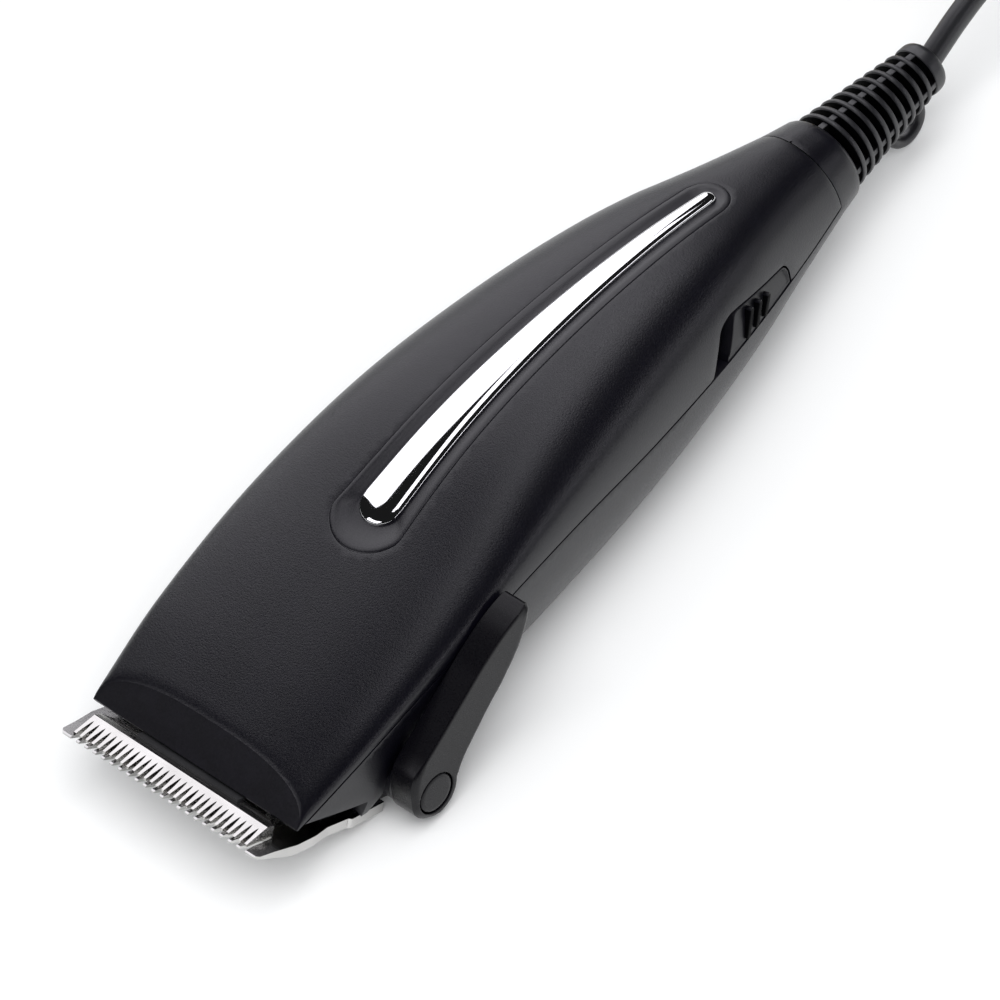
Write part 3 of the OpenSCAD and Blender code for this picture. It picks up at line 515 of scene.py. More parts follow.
# ---------- switch place ----------
SW_Y, SW_LEN = 112.6, 19.0
sw_yaw = math.atan((half_width(SW_Y) - half_width(SW_Y + SW_LEN)) / SW_LEN)
sw_dip = math.atan((z_part(SW_Y) - z_part(SW_Y + SW_LEN)) / SW_LEN)
SW_AT = Vector((half_width(SW_Y), SW_Y, z_part(SW_Y)))
SW_TURN = Matrix.Rotation(sw_yaw, 3, "Z") @ Matrix.Rotation(-sw_dip, 3, "X")


def sw_world(x, y, z):
    """A point of the switch's own frame, whose x points out of the housing's right side."""
    return SW_AT + SW_TURN @ Vector((x, y, z))


def sw_local(p):
    return SW_TURN.inverted() @ (Vector(p) - SW_AT)


# outlines of the slot and of its slider in the switch's own frame, as (y, z); the parting line is at 0
SW_SLOT = [
    (-5.6, -1.5), (-4.6, 0.2), (-2.85, 3.7), (-0.6, 6.7), (1.1, 7.45), (3.4, 7.75), (5.3, 7.55), (21.0, 4.75),
    (22.1, 2.9), (22.3, 0.2), (22.5, -1.5),
]
SW_SLIDER = [
    (0.0, -0.06), (1.5, 2.9), (3.1, 5.7), (4.2, 7.1), (5.3, 7.25), (20.8, 4.5), (21.8, 2.9), (22.0, -0.06),
]


def skin_x(y, z, rounds=10):
    """How far out the housing's surface lies at (y, z) of the switch's own frame."""
    t = 0.0
    for _ in range(rounds):
        w = sw_world(t, y, z)
        t += (section(w.y, angle_at(w.y, w.z))[0] - w.x) / math.cos(sw_yaw)
    return t


def sw_on_skin(y, z):
    """The housing's section angle and y at (y, z) of the switch's own frame."""
    w = sw_world(skin_x(y, z, 12), y, z)
    return angle_at(w.y, w.z), w.y


# ---------- top shell ----------
# the shells are covered flat, over the section's angle times SPREAD and y, and then bent round the section
SPREAD = 22.0
EDGE_LINES = (0.12, 0.3)        # distances from an edge of the lines that carry its rounding
SEAM_PULL, SEAM_W = 0.1, 0.3    # depth and width of that rounding
HALF_TURN = math.pi * SPREAD
SOLID_LIP = 6.05


def bezel_z(y):
    return LIP_Z + BEZEL * y


def eased(distance, pull=SEAM_PULL, width=SEAM_W):
    """How far the surface is drawn in at a distance from an edge."""
    return pull * max(0.0, 1 - distance / width) ** 2


def top_shell():
    def flat(a, y):
        return a * SPREAD, y

    notch = [sw_on_skin(y, z) for y, z in resample(rounded(SW_SLOT, 1.4), 0.5)]
    a0 = next(i for i, p in enumerate(notch) if p[0] > 0)
    a1 = len(notch) - 1 - next(i for i, p in enumerate(reversed(notch)) if p[0] > 0)

    def crossing(p, q):
        t = p[0] / (p[0] - q[0])
        return 0.0, p[1] + (q[1] - p[1]) * t

    notch = [crossing(notch[a0 - 1], notch[a0])] + notch[a0:a1 + 1] + [crossing(notch[a1 + 1], notch[a1])]
    notch = [flat(*p) for p in notch]
    # anticlockwise: along the right parting line with the notch, over the tail and back along the left
    border = resample([(0, 0), (0, 3), notch[0]], 0.8)[:-1] + notch[:-1]
    border += resample([notch[-1], (0, ARC_Y)], 0.8)[:-1]
    end_u = HALF_TURN
    border += resample([(0, ARC_Y), (end_u, ARC_Y)], 0.7)[:-1]
    border += resample([(end_u, ARC_Y), (end_u, 0)], 0.9)[:-1]
    border += resample([(end_u, 0), (0, 0)], 0.5)[:-1]
    # where the bezel's slope meets the back, by halving
    edge = []
    for i in range(161):
        a = math.pi * i / 160
        if section(0, a)[2] > LIP_Z + 0.02:
            lo, hi = 0.0, 12.0
            for _ in range(30):
                mid = (lo + hi) / 2
                lo, hi = (mid, hi) if section(mid, a)[2] > bezel_z(mid) else (lo, mid)
            edge.append((a * SPREAD, lo))
    lines = []
    for d in (-0.5, -0.25, 0, 0.25, 0.5):
        lines.append(([(u, v + d) for u, v in edge if v + d > 0.06], False))
    lane_near = Near(inlay_loop)
    for d in (0.3, 0.12, 0.0, -0.06):
        loop = offset(inlay_loop, -d)
        lines.append(([flat(angle_over(x, y), y) for x, y in loop], True))
    border_near = Near(border, step=0.1)
    for d in EDGE_LINES:
        lines.append(([(d, y) for y in np.arange(0.5, border[0][1] + notch[0][1] - 0.6, 0.8)], False))
        lines.append(([(d, y) for y in np.arange(notch[-1][1] + 0.6, ARC_Y - 0.4, 0.8)], False))
        lines.append(([(end_u - d, y) for y in np.arange(0.5, ARC_Y - 0.4, 0.9)], False))
        lines.append(([(u, ARC_Y - d) for u in np.arange(0.5, end_u - 0.4, 0.7)], False))
        lines.append((offset(notch, d, False)[2:-2], False))

    def outer(u, v):
        a, y = u / SPREAD, v
        pull = 0.0
        if u < 1 or u > end_u - 1 or y > ARC_Y - 1 or notch[0][1] - 1 < y < notch[-1][1] + 1:
            pull = eased(border_near(u, v))
        x, _, z = section(y, a, pull)
        z = soft_min(z, bezel_z(y), 0.7)
        if u < 1 or u > end_u - 1:
            z = max(z, z_part(y) + 0.2)
        if y > ARC_Y - 1e-6:
            y -= 0.07
        if INLAY[0] - 1 < y < INLAY[1] + 1 and abs(x) < 9.5:
            d = lane_near(x, v)
            if abs(x) < 8.5 and inside(inlay_loop, np.array([x]), np.array([v]))[0]:
                d = -d
            if d < -0.03:
                z = back_z(x, v) - POCKET_D
            elif d < SEAM_W:
                z -= eased(max(d, 0), 0.14)
        return x, y, z

    def inner(u, v):
        a, y = u / SPREAD, v
        if y < SOLID_LIP:
            # the lip is solid: its inner face lies just over the parting line
            x, _, z = section(y, a)
            on_line = u < 1e-6 or u > end_u - 1e-6
            return 0.97 * x, y, z_part(y) + 0.03 * (z - z_part(y)) + (0.17 if on_line else 0)
        return section(y, a, WALL)

    inner_lines = []
    for y in (SOLID_LIP - 0.05, SOLID_LIP + 0.05):
        inner_lines.append(([(u, y) for u in np.arange(2, end_u - 1, 2.5)], False))
    verts, faces = shell(border, lines, inner_lines, outer, inner, 1.25)
    obj = piece("housing_top", verts, faces, "shell_black", "housing", ["top_shell"])

    def on_bezel(p):
        return p[1] < 26 and p[2] > z_part(p[1]) + 0.3 and abs(p[2] - bezel_z(p[1])) < 0.12

    def in_slot(p):
        q = sw_local(p)
        return q.x > 5 and -7 < q.y < 24 and q.z < 8.5 and q.x < skin_x(q.y, max(0.2, q.z)) - 0.3

    second_material(obj, "bezel_black", on_bezel)
    # the faces inside the switch slot get the darker black: painted shade in the slot
    second_material(obj, "painted_shade_black", in_slot)
    return obj


top_shell()


def joined(*parts):
    """Several (verts, faces) as one."""
    verts, faces = [], []
    for v, f in parts:
        n = len(verts)
        verts += [tuple(p) for p in v]
        faces += [tuple(n + i for i in face) for face in f]
    return verts, faces


def lathe(profile, place, n=48):
    """A solid of revolution: profile is a list of (radius, height), place maps (x, y, height) to a point."""
    verts = []
    for r, h in profile:
        for i in range(n):
            a = 2 * math.pi * i / n
            verts.append(tuple(place(r * math.cos(a), r * math.sin(a), h)))
    faces = ring_faces(len(profile), n)
    for k in (0, len(profile) - 1):
        if profile[k][0] > 1e-6:
            faces.append(tuple(k * n + i for i in range(n)))
    return verts, faces


def disc(r, h0, h1, edge, place, n=48, r1=None):
    """A disc with rounded rims; r1 is its radius at h1, where it differs."""
    r1 = r if r1 is None else r1
    prof = []
    for k in range(5):
        a = math.pi / 2 * k / 4
        prof.append((r - edge * (1 - math.sin(a)), h0 + edge * (1 - math.cos(a))))
    for k in range(5):
        a = math.pi / 2 * k / 4
        prof.append((r1 - edge * (1 - math.cos(a)), h1 - edge * (1 - math.sin(a))))
    return lathe([(0.0, h0)] + prof + [(0.0, h1)], place, n)


def bar(outline, t0, t1, edge, place):
    """A flat outline drawn out from t0 to t1 with rounded edges; place maps (u, v, t) to a point."""
    rings = []
    for k in range(4):
        a = math.pi / 2 * k / 3
        rings.append((edge * (1 - math.sin(a)), t0 + edge * (1 - math.cos(a))))
    rings += [(i, t0 + t1 - t) for i, t in reversed(rings)]
    side, n = winding(outline), len(outline)
    verts = []
    for inset, t in rings:
        verts += [tuple(place(u, v, t)) for u, v in offset(outline, side * inset)]
    faces = ring_faces(len(rings), n)
    faces.append(tuple(range(n)))
    faces.append(tuple((len(rings) - 1) * n + i for i in range(n)))
    return verts, faces


# ---------- bottom shell ----------
POSTS = ((16, 36), (-16, 36), (-5, 124))    # the screw wells, as (x, y)
WELL_R, WELL_RIM, WELL_D = 3.22, 3.45, 4
PIV_Y, PIV_Z = 22.4, 6.4
BOSS_R, BOSS_X, BOSS_BORE = 4.6, 26.1, 2.56


def blade_point(x, l, h):
    """A point of the blade frame: across, along the comb from its tips, and up from its upper face."""
    return (
        x, -TIP_Y + l * math.cos(BLADE) + h * math.sin(BLADE),
        TIP_Z - l * math.sin(BLADE) + h * math.cos(BLADE),
    )


def bottom_shell():
    end_u, over = HALF_TURN, HALF_TURN / 2
    # the open front's edge in side view: over the comb, down to its upper face and along it, and past its end
    path = [(l, 3.5) for l in np.arange(0, 23.4, 0.4)]
    path += [(23.4, 3.5), (23.4, 2.4), (23.4, 1.2), (23.4, 0.15)]
    path += [(l, 0.15) for l in np.arange(23.8, 31.3, 0.5)] + [(31.4, 0.15), (31.4, -0.5), (31.4, -1.16)]
    right = []
    for l, h in path:
        _, y, z = blade_point(0, l, h)
        if z < z_part(y) - 0.02:
            right.append(((math.pi + angle_at(y, max(z, 0.001))) * SPREAD, y))
    y_open = right[0][1] - 0.3
    right = [(end_u, y_open)] + right
    left = [(end_u - u, y) for u, y in reversed(right)]
    across = resample([right[-1], left[0]], 1.0)[1:-1]
    border = resample([(0, y_open), (0, ARC_Y)], 0.8)[:-1]
    border += resample([(0, ARC_Y), (-over, ARC_Y)], 0.7)[:-1]
    border += resample([(-over, ARC_Y), (-over, LENGTH)], 0.6)[:-1]
    border += resample([(-over, LENGTH), (end_u + over, LENGTH)], 0.8)[:-1]
    border += resample([(end_u + over, LENGTH), (end_u + over, ARC_Y)], 0.6)[:-1]
    border += resample([(end_u + over, ARC_Y), (end_u, ARC_Y)], 0.7)[:-1]
    border += resample([(end_u, ARC_Y), (end_u, y_open)], 0.8)[:-1]
    border += right + across + left[:-1]
    # the tail goes all the way round, so the cover's two sides meet along its top
    weld = set()
    for i, p in enumerate(border):
        q = border[(i + 1) % len(border)]
        if any(all(abs(t[0] - u) < 1e-6 for t in (p, q)) for u in (-over, end_u + over)):
            weld.add(i)
    lines = []
    for d in EDGE_LINES:
        for u in (d, end_u - d):
            lines.append(([(u, y) for y in np.arange(y_open + 1, ARC_Y - 0.3, 0.8)], False))
        for a, b in ((-over, 0), (end_u, end_u + over)):
            lines.append(([(u, ARC_Y + d) for u in np.arange(a + 0.4, b - 0.2, 0.7)], False))
        front = right[1:] + across + left[:-1]
        lines.append((offset(front, d, False)[1:-1], False))
    for d in (0.25, 0.6, 1.1):
        lines.append(([(u, LENGTH - d) for u in np.arange(-over, end_u + over + 0.4, 0.8)], False))
    for px, py in POSTS:
        for r in (WELL_RIM, 3.25, 3.2):
            ring = []
            for k in range(40):
                a = 2 * math.pi * k / 40
                x, y = px + r * math.cos(a), py + r * math.sin(a)
                ring.append(((angle_over(x, y, False) % (2 * math.pi) - math.pi) * SPREAD, y))
            lines.append((ring, True))
    near_border = Near(border, step=0.1)

    def outer(u, v):
        a, y = u / SPREAD + math.pi, v
        pull = 0.0
        if u < 1 or u > end_u - 1 or v > ARC_Y - 1 or v < 22:
            pull = eased(near_border(u, v))
        if abs(u + over) < 0.5 or abs(u - end_u - over) < 0.5:
            pull = eased(v - ARC_Y, 0.2)
        if v > LENGTH - 1.1:
            pull = 0.7 * (1 - (LENGTH - v) / 1.1) ** 2
        x, _, z = section(y, a, pull)
        if math.sin(a) < 0 or abs(math.sin(a)) < 1e-9:
            z = max(z, 0.0)
            for px, py in POSTS:
                d = math.hypot(x - px, y - py)
                if d < WELL_R:
                    z = belly_z(px, py) + WELL_D
                elif d < WELL_RIM:
                    z += 0.1 * (WELL_RIM - d) / 0.25
        if v < ARC_Y - 1e-6 and (abs(u) < 1e-6 or abs(u - end_u) < 1e-6):
            z -= 0.15
        elif v < ARC_Y and (u < 1 or u > end_u - 1) and v > y_open:
            z = min(z, z_part(y) - 0.19)
        if abs(v - ARC_Y) < 1e-6 and not 1e-6 < u < end_u - 1e-6:
            y += 0.06
        return x, y, z

    def inner(u, v):
        a, y = u / SPREAD + math.pi, v
        if v > ARC_Y - 0.8:
            return TAIL_BORE * math.cos(a), y, RIM_Z + TAIL_BORE * math.sin(a)
        x, _, z = section(y, a, WALL)
        if u < 1e-6 or u > end_u - 1e-6:
            z = min(z, z_part(y) - 0.2)
        for px, py in POSTS:
            if math.hypot(x - px, y - py) < 5 and math.sin(a) < 0:
                z = max(z, belly_z(px, py) + WELL_D + 1.2)
        return x, y, z

    inner_lines = []
    for y in (ARC_Y - 0.9, ARC_Y - 0.7):
        inner_lines.append(([(u, y) for u in np.arange(1, end_u - 0.5, 2.5)], False))
    wall = shell(border, lines, inner_lines, outer, inner, 1.3, weld)
    boss = [
        (0.0, 11), (BOSS_R, 11), (BOSS_R + 0.9, 21.5), (BOSS_R + 0.3, 22.6), (BOSS_R, 23.8),
        (BOSS_R, BOSS_X - 0.3), (BOSS_R - 0.3, BOSS_X), (BOSS_BORE, BOSS_X), (BOSS_BORE, 12), (0.0, 12),
    ]
    boss = lathe(boss, lambda p, q, h: (h, PIV_Y + p, PIV_Z + q))
    rails = []
    for s in (1, -1):
        rails.append(bar(
            [(s * 15.4, 23.4), (s * 22, 23.4), (s * 22, 32), (s * 15.4, 32)], 0.15, 2.2, 0.15,
            lambda x, l, h: blade_point(x, l, h)))
    verts, faces = joined(wall, boss, *rails)
    return piece("housing_bottom", verts, faces, "shell_black", "housing", ["bottom_shell"])


bottom_shell()


# ---------- inlay panel and bright strip ----------
def trim_panel():
    rim = offset(inlay_loop, -0.16)
    seat = offset(whole_outline(strip_half), 0.28)
    gaps = [math.dist(a, b) for a, b in zip(rim, seat)]
    n = len(rim)
    # distance of each step from the rim, and its height over the back there
    steps = [
        (0.0, -1.24), (0.0, -0.3), (0.05, -0.12), (0.14, -0.02), (0.28, 0.03), (0.5, 0.05), (0.9, 0.04),
        (1.15, 0.0),
    ]
    crest, most = steps[-1][0], 0.75

    def between(a, b, share):
        x, y = a[0] + (b[0] - a[0]) * share, a[1] + (b[1] - a[1]) * share
        return x, y, back_z(x, y)

    verts = []
    for d, up in steps:
        for a, b, g in zip(rim, seat, gaps):
            x, y, z = between(a, b, min(most, d / g))
            verts.append((x, y, z + up))
    # from the crest the face is dished down to the strip's seat
    for k in range(1, 11):
        t = k / 10
        for a, b, g in zip(rim, seat, gaps):
            start = min(most, crest / g)
            x, y, z = between(a, b, start + (1 - start) * t)
            verts.append((x, y, z - min(0.75, 0.16 * g) * math.sin(math.pi / 2 * t) ** 1.2))
    verts += [(x, y, back_z(x, y) - 1.0) for x, y in seat]
    rows = len(verts) // n
    faces = ring_faces(rows, n) + across_faces(n) + across_faces(n, (rows - 1) * n)
    return piece("inlay_panel", verts, faces, "panel_black", "housing", ["trim_panel"], sharp=50)


def chrome_strip():
    y0, y1, r0, r1, _ = STRIP
    outline = whole_outline(strip_half)
    core = [(0.0, min(max(y, y0 + r0), y1 - r1)) for _, y in outline]
    low, high, square = -0.5, 0.5, 2.4
    # each ring's share of the way to the core, and its height over the back's ridge
    levels = [(0.0, -1.0), (0.0, low)]
    for k in range(1, 15):
        share = 1 - math.cos(math.pi / 2 * k / 14)
        levels.append((share, low + (high - low) * (1 - (1 - share) ** square) ** (1 / square)))
    verts = []
    for share, up in levels:
        for (x, y), (cx, cy) in zip(outline, core):
            x, y = x + (cx - x) * share, y + (cy - y) * share
            verts.append((x, y, z_top(y) + up))
    n = len(outline)
    faces = ring_faces(len(levels), n) + across_faces(n)
    return piece("bright_strip", verts, faces, "chrome_trim", "housing", ["chrome_strip"], sharp=60, merge=2e-3)


trim_panel()
chrome_strip()


# ---------- lever ----------
LEVER_X, LEVER_T, HUB_R = 32.0, 5.6, 4.98     # the outer face, the thickness and the radius at the pivot
CAP_R, CAP_SEAT = 3.6, 1.4


def on_circle(r, a):
    return r * math.cos(a), r * math.sin(a)


def taper_lever():
    # from the hub's front over the back and the free end to the hub's rear, as (y, z) from the pivot
    back = [
        (-4.9, 0.9), (-4.5, 4.2), (-3.2, 6.7), (-0.9, 8.2), (3.2, 10.3), (10.8, 14.4), (14.8, 16.6),
        (18.8, 18.4), (21.7, 19.5), (24.8, 20.3), (27.6, 20.55), (28.3, 19.6), (27.6, 17.6), (26.3, 15.7),
        (23.9, 12.9), (21.1, 10.6), (18.4, 8.9), (15.2, 7.7), (10.8, 4.5), (7.1, 1.8), (4.9, -0.9),
    ]
    outline = rounded(back, 1.6, 6)
    a0, a1 = math.atan2(-0.9, 4.9), math.atan2(0.9, -4.9) - 2 * math.pi
    outline += [on_circle(HUB_R, a0 + (a1 - a0) * k / 40) for k in range(1, 40)]
    outline = resample(outline, 0.45, True)
    lines = [(offset(outline, -d), True) for d in (0.1, 0.25, 0.45, 0.75, 1.1, 1.4)]
    for r in (4.0, 3.88, 3.8):
        lines.append(([on_circle(r, 2 * math.pi * k / 56) for k in range(56)], True))
    near = Near(outline)

    def edge(u, v):
        # a crisp edge above, a wide soft one before the pivot and under the free end
        left = min(1.0, max(0.0, (-0.5 - u) / 2.5))
        low = min(1.0, max(0.0, (u - 15) / 5)) * min(1.0, max(0.0, (0.62 * u + 4.6 - v) / 1.5))
        w = 0.4 + 0.95 * max(left, low)
        depth = 0.28 + 0.5 * left + 0.7 * low
        return depth * max(0.0, 1 - near(u, v) / w) ** 2

    def outer(u, v):
        x = LEVER_X - edge(u, v)
        r = math.hypot(u, v)
        if r < 3.84:
            x = LEVER_X - CAP_SEAT
        elif r < 4.0:
            x -= 0.12 * (4.0 - r) / 0.16
        return x, PIV_Y + u, PIV_Z + v

    def inner(u, v):
        return LEVER_X - LEVER_T + eased(near(u, v), 0.3, 0.45), PIV_Y + u, PIV_Z + v

    verts, faces = shell(outline, lines, lines[:3], outer, inner, 0.7)
    return piece("lever_arm", verts, faces, "lever_black", "lever", ["taper_lever"], sharp=34)


def lever_cap():
    x0 = LEVER_X - CAP_SEAT + 0.02
    prof = [
        (0.0, 0.0), (CAP_R, 0.0), (CAP_R, 1.0), (CAP_R - 0.08, 1.2), (CAP_R - 0.28, 1.34), (CAP_R - 0.8, 1.36),
        (0.0, 1.36),
    ]
    verts, faces = lathe(prof, lambda p, q, h: (x0 + h, PIV_Y + p, PIV_Z + q), 64)
    return piece("lever_cover", verts, faces, "lever_black", "lever", ["lever_cap"], sharp=40)


taper_lever()
lever_cap()


# ---------- switch ----------
# the foot and the head of each grip rib, in the switch's own frame
SW_RIBS = (((6.5, 0.75), (8.7, 4.6)), ((9.6, 0.75), (11.5, 4.0)), ((12.6, 0.75), (14.3, 3.3)))
RIB_R = 0.58


def switch_slider():
    outline = resample(rounded(SW_SLIDER, 1.1), 0.4, True)
    side = winding(outline)
    lines = [(offset(outline, side * d), True) for d in (0.12, 0.28, 0.5, 0.75, 1.05)]
    near = Near(outline)

    def outer(y, z):
        d = near(y, z)
        # a raised rim above and behind, and a dished face that runs out flush at the parting line
        face = 0.2 + 0.75 * min(1.0, max(0.0, z / 4.5))
        if z < 0.6:
            pull = 0.22
        elif d < 0.28:
            pull = 0.4 - 0.3 * math.sqrt(max(0.0, 1 - (1 - d / 0.28) ** 2))
        elif d < 0.75:
            s = (d - 0.28) / 0.47
            pull = 0.1 + (face - 0.1) * s * s * (3 - 2 * s)
        else:
            pull = face
        return tuple(sw_world(skin_x(y, z) - pull, y, z))

    def inner(y, z):
        return tuple(sw_world(skin_x(y, z) - 2.3, y, z))

    parts = [shell(outline, lines, lines[:1], outer, inner, 0.8)]
    for (y0, z0), (y1, z1) in SW_RIBS:
        turn = math.atan2(z1 - z0, y1 - y0)
        half = [(RIB_R * math.sin(turn + a), -RIB_R * math.cos(turn + a)) for a in np.linspace(0, math.pi, 9)]
        rib = [(y1 + y, z1 + z) for y, z in half] + [(y0 - y, z0 - z) for y, z in half]

        def stand(u, v, t):
            return tuple(sw_world(skin_x(u, v) + t - 0.2, u, v))

        parts.append(bar(rib, -1.6, 0.42, 0.2, stand))
    stem = [(8, 1.6), (11, 1.6), (11, 4.2), (8, 4.2)]
    parts.append(bar(stem, -7, -1.6, 0.1, lambda u, v, t: tuple(sw_world(t, u, v))))
    verts, faces = joined(*parts)
    obj = piece("switch_button", verts, faces, "switch_black", "switch", ["switch_slider"], sharp=35)

    def on_rib(p):
        q = sw_local(p)
        for a, b in SW_RIBS:
            a, b, c = Vector(a), Vector(b), q.yz
            k = min(1.0, max(0.0, (c - a).dot(b - a) / (b - a).length_squared))
            if (a + (b - a) * k - c).length < RIB_R + 0.03 and q.x > skin_x(*c) - 1.0 and c.y < b.y + 0.3:
                return True
        return False

    # the ribs are of the slider's own plastic; the darker black on them is painted dark reflection
    second_material(obj, "painted_shade_black", on_rib)
    return obj


switch_slider()


# ---------- strain relief ----------
RELIEF_LEN, RINGS, COLLAR, GROOVE = 27.6, 9, 3.2, 1.5
PITCH = (RELIEF_LEN - COLLAR - GROOVE) / RINGS
DROOP = math.radians(1.9)
RING_R = (7.7, 5.0)             # the outer radius at the first ring and at the last
HOOP_H, HOOP_Z, HOOP_R, HOOP_BORE = 20.1, -8.4, 5.0, 3.0
STRAP_HALF = 1.2


def relief_at(p, q, h):
    """A point from its place across, up and along the relief's drooping axis, counted from the tail rim."""
    c, s = math.cos(DROOP), math.sin(DROOP)
    return p, LENGTH + h * c + q * s, RIM_Z + q * c - h * s


def ring_r(i):
    return RING_R[0] + (RING_R[1] - RING_R[0]) * i / RINGS


def hoop_side(r, end, n=25):
    """One side of the hanging loop, as (along, up): straight down from end, and round its lower half."""
    arc = [(HOOP_H + r * math.cos(a), HOOP_Z + r * math.sin(a)) for a in np.linspace(math.pi, 2 * math.pi, n)]
    return [(HOOP_H - r, end)] + arc + [(HOOP_H + r, end)]


def hanging_loop():
    """A rounded strap under the last rings, open in the middle."""
    turns = [2 * math.pi * k / 12 for k in range(12)]
    strap = [(0.5 + 0.5 * math.cos(a), STRAP_HALF * math.sin(a)) for a in turns]
    sides = list(zip(hoop_side(HOOP_R, -3.2), hoop_side(HOOP_BORE, -(ring_r(7) + 0.6))))
    verts = []
    for (oh, oz), (ih, iz) in sides:
        for share, p in strap:
            verts.append(relief_at(p, iz + (oz - iz) * share, ih + (oh - ih) * share))
    rows, n = len(sides), len(strap)
    return verts, ring_faces(rows, n) + [tuple(range(n)), tuple((rows - 1) * n + k for k in range(n))]


def strain_relief():
    def straight(p, q, h):
        return p, LENGTH + h, RIM_Z + q

    parts = [
        lathe([(0.0, -9.9), (6.0, -9.9), (6.0, -7.92), (5.18, -7.9), (5.18, 0.4), (0.0, 0.4)], straight),
        lathe([(0.0, 0.0), (3.7, 0.0), (3.05, RELIEF_LEN - 1), (0.0, RELIEF_LEN - 1)], relief_at),
    ]
    for i in range(RINGS):
        h = GROOVE + i * PITCH
        parts.append(disc(ring_r(i), h, h + PITCH - GROOVE, 0.3, relief_at, 64, ring_r(i + 0.4)))
    h0 = RELIEF_LEN - COLLAR
    prof = [(0.0, h0), (4.75, h0), (4.95, h0 + 0.15), (5.02, h0 + 0.5), (5.0, h0 + 1.5)]
    for k in range(1, 9):
        a = math.pi / 2 * k / 8
        prof.append((5.0 - 1.35 * (1 - math.cos(a)), h0 + 1.5 + 1.7 * math.sin(a)))
    parts.append(lathe(prof + [(2.5, RELIEF_LEN + 0.02), (0.0, RELIEF_LEN + 0.02)], relief_at, 64))
    # four webs join the rings
    web = [(0.0, 0.05), (7.2, 0.05), (7.2, 0.8), (4.6, RELIEF_LEN - 2), (0.0, RELIEF_LEN - 2)]
    for turn in (0, 90, 180, 270):
        c, s = math.cos(math.radians(turn)), math.sin(math.radians(turn))
        parts.append(bar(
            web, -0.6, 0.6, 0.12, lambda r, h, t, c=c, s=s: relief_at(r * c - t * s, r * s + t * c, h)))
    parts.append(hanging_loop())
    verts, faces = joined(*parts)
    obj = piece("cord_relief", verts, faces, "rubber_black", "housing", ["strain_relief"], sharp=40)

    def between_rings(p):
        y, z, c, s = p[1] - LENGTH, p[2] - RIM_Z, math.cos(DROOP), math.sin(DROOP)
        h, q = y * c - z * s, y * s + z * c
        return h < RELIEF_LEN - COLLAR + 0.05 and math.hypot(p[0], q) < ring_r((h - GROOVE) / PITCH) - 0.8

    # the core between the rings gets the darker black: painted shade between the rings
    second_material(obj, "painted_shade_black", between_rings)
    return obj


strain_relief()


# ---------- cord ----------
CORD_D = 4.4
COIL_X, COIL_Y, COIL_RADII = -16, 286, (27.4, 23.0, 18.6)
COIL_ROWS, COIL_TURNS, COIL_STEPS = 4, 11.5, 20
# from the relief to the coil, and from the coil to the plug
CORD_PATH = [
    (0, 187.2, 14.1), (0, 191, 15.7), (0, 196, 17.6), (0, 202, 19.2), (0, 209, 19.8), (0.2, 217, 19),
    (0.8, 225, 16.4), (1.9, 233, 12.6), (3.5, 241, 8.6), (5.3, 248, 5.4), (7.3, 255, 3.2),
    (9.2, 262, 2.3), (10.6, 269, 2.2), (11.3, 276, 2.2), (11.4, 281, 2.2),
]
TAIL_PATH = [
    (-43.4, 282, 15.4), (-43.4, 276, 15.4), (-43.1, 269, 14.9), (-42, 263, 13.4), (-40.1, 257.5, 11.3),
    (-38.2, 252.5, 9.4), (-37, 249, 8.3), (-36.6, 246, 8),
]


def coil_route():
    """The tied coil: four rows of three turns on each other, wound inwards and outwards by turns."""
    turns = []
    for row in range(COIL_ROWS):
        for r in COIL_RADII if row % 2 == 0 else COIL_RADII[::-1]:
            turns.append((r, CORD_D / 2 + CORD_D * row))
    # the last half turn is left out, so that the cord leaves on the other side
    points = []
    for i in range(int(COIL_TURNS * COIL_STEPS) + 1):
        t = i / COIL_STEPS
        k = min(int(t), len(turns) - 1)
        (r0, z0), (r1, z1) = turns[k], turns[min(k + 1, len(turns) - 1)]
        # the step to the next turn takes the last fifth of this one
        s = min(1.0, max(0.0, (t - k - 0.8) / 0.2))
        s = s * s * (3 - 2 * s)
        a, r = 2 * math.pi * t, r0 + (r1 - r0) * s
        points.append((COIL_X + r * math.cos(a), COIL_Y + r * math.sin(a), z0 + (z1 - z0) * s))
    return points


def build_cord():
    points = [at(*p) for p in CORD_PATH + coil_route() + TAIL_PATH]
    curve = bpy.data.curves.new("mains_cord", "CURVE")
    curve.dimensions = "3D"
    curve.bevel_depth = CORD_D / 2 / MM_PER_M
    curve.bevel_resolution = 5
    curve.use_fill_caps = True
    curve.resolution_u = 4
    spline = curve.splines.new("BEZIER")
    spline.bezier_points.add(len(points) - 1)
    for i, p in enumerate(points):
        last, following = points[max(i - 1, 0)], points[min(i + 1, len(points) - 1)]
        step = (following - last).normalized()
        b = spline.bezier_points[i]
        b.co = p
        b.handle_left_type = b.handle_right_type = "FREE"
        b.handle_left = p - step * (p - last).length / 3
        b.handle_right = p + step * (following - p).length / 3
    obj = bpy.data.objects.new("mains_cord", curve)
    scene.collection.objects.link(obj)
    paint(obj, "rubber_black")
    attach(obj, "housing")
    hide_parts("cord", "cord_coil", "cord_tail")
    return obj


cord = build_cord()


# ---------- floor, light and camera ----------
def floor(half=4):
    mesh = bpy.data.meshes.new("floor")
    corners = [(-half, -half, 0), (half, -half, 0), (half, half, 0), (-half, half, 0)]
    mesh.from_pydata(corners, [], [(0, 1, 2, 3)])
    obj = bpy.data.objects.new("floor", mesh)
    scene.collection.objects.link(obj)
    n = Nodes("floor")
    n.set(Base_Color=n.mix(n.noise(6, 2), (0.93, 0.93, 0.935), (0.95, 0.95, 0.95)), Roughness=0.9,
          Specular_IOR_Level=0.1)
    mesh.materials.append(n.mat)


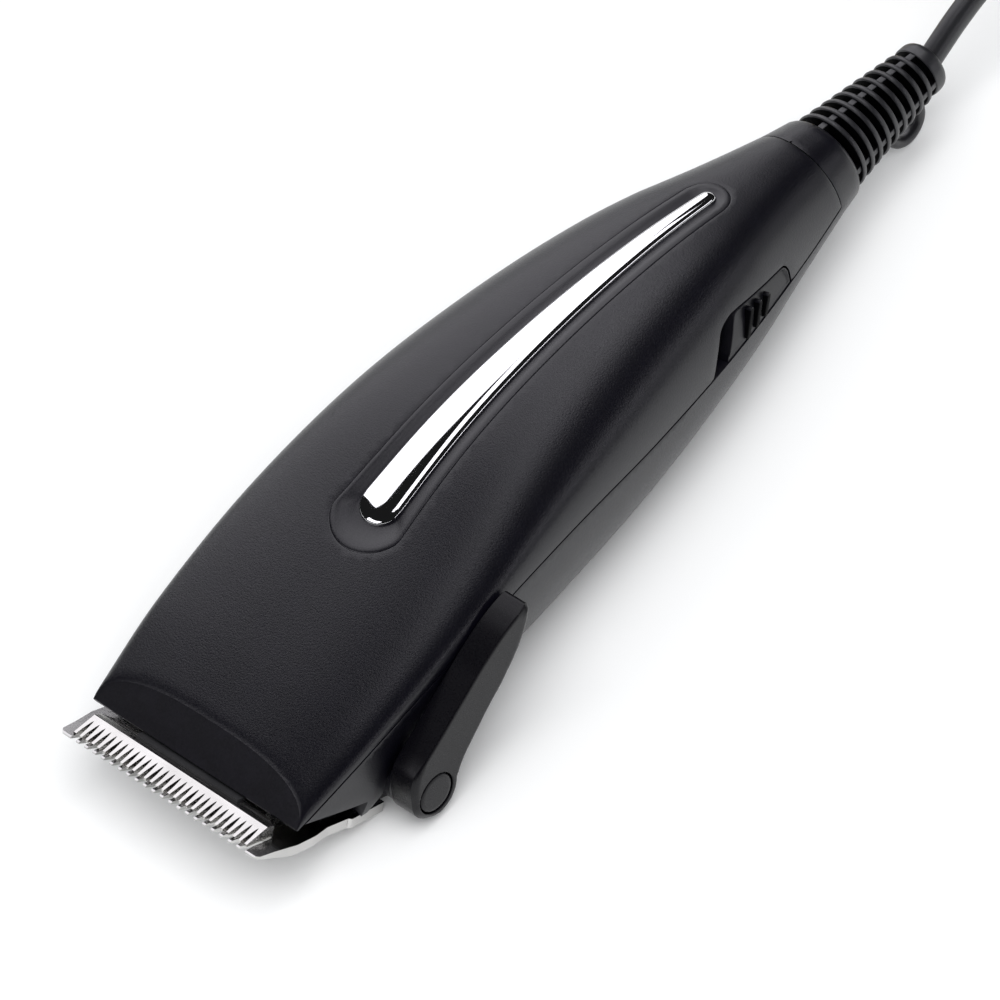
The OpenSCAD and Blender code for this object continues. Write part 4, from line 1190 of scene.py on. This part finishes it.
def area_light(name, place, target, size, power, colour):
    """A rectangular light of the given watts that faces target."""
    light = bpy.data.lights.new(name, "AREA")
    light.shape = "RECTANGLE"
    light.size, light.size_y = size
    light.energy = power
    light.color = colour
    obj = bpy.data.objects.new(name, light)
    scene.collection.objects.link(obj)
    obj.location = place
    obj.rotation_euler = (Vector(target) - Vector(place)).to_track_quat("-Z", "Y").to_euler()
    return obj


def studio():
    """Soft even fill for every surface; mirrors see it dimly, so they show the soft boxes and the floor."""
    world = bpy.data.worlds.new("studio")
    world.use_nodes = True
    tree = world.node_tree
    back = tree.nodes["Background"]
    back.inputs[0].default_value = (0.97, 0.985, 1.0, 1)
    path = tree.nodes.new("ShaderNodeLightPath")
    level = tree.nodes.new("ShaderNodeMapRange")
    level.inputs["To Min"].default_value = 0.62
    level.inputs["To Max"].default_value = 0.01
    tree.links.new(path.outputs["Is Glossy Ray"], level.inputs[0])
    tree.links.new(level.outputs[0], back.inputs[1])
    scene.world = world


floor()
studio()

# the soft boxes light only what shines; the key and the world light everything matt
MIDDLE, FRONT_HALF, BOX_TINT = (0, 0.04, 0.02), (0, 0.0, 0.02), (0.96, 0.945, 1.0)
SOFT_BOXES = (
    ("left_box", (-0.95, 0.55, 0.8), MIDDLE, (1.3, 1.5), 9.8),
    ("top_box", (-0.1, 0.45, 1.1), MIDDLE, (0.34, 1.3), 2.5),
    ("right_box", (1.0, 0.49, 0.42), MIDDLE, (1.8, 0.16), 1.9),
    ("front_box", (-0.3, -0.9, 0.6), FRONT_HALF, (0.8, 0.5), 2.5),
)
for box in SOFT_BOXES:
    area_light(*box, BOX_TINT).visible_diffuse = False
area_light("key", (0.4, -0.15, 1.25), FRONT_HALF, (1.3, 1.3), 14.5, (1, 1, 1)).visible_glossy = False

scene.view_settings.view_transform = "Standard"
scene.view_settings.look = "None"

# the photo's camera: its axes and its place in the row frame, in metres
CAM_RIGHT = Vector((0.72894, 0.66393, -0.16686))
CAM_UP = Vector((-0.43545, 0.63776, 0.63533))
CAM_BACK = Vector((0.52823, -0.39046, 0.75400))
CAM_PLACE = Vector((0.56548, -0.39454, 0.81538))
cam = bpy.data.cameras.new("camera")
cam.sensor_width = 36
cam.lens = 229.48
cam.clip_end = 20
cam_obj = bpy.data.objects.new("camera", cam)
scene.collection.objects.link(cam_obj)
turn = Matrix((CAM_RIGHT, CAM_UP, CAM_BACK)).transposed().to_4x4()
cam_obj.matrix_world = Matrix.Translation(CAM_PLACE) @ turn
scene.camera = cam_obj
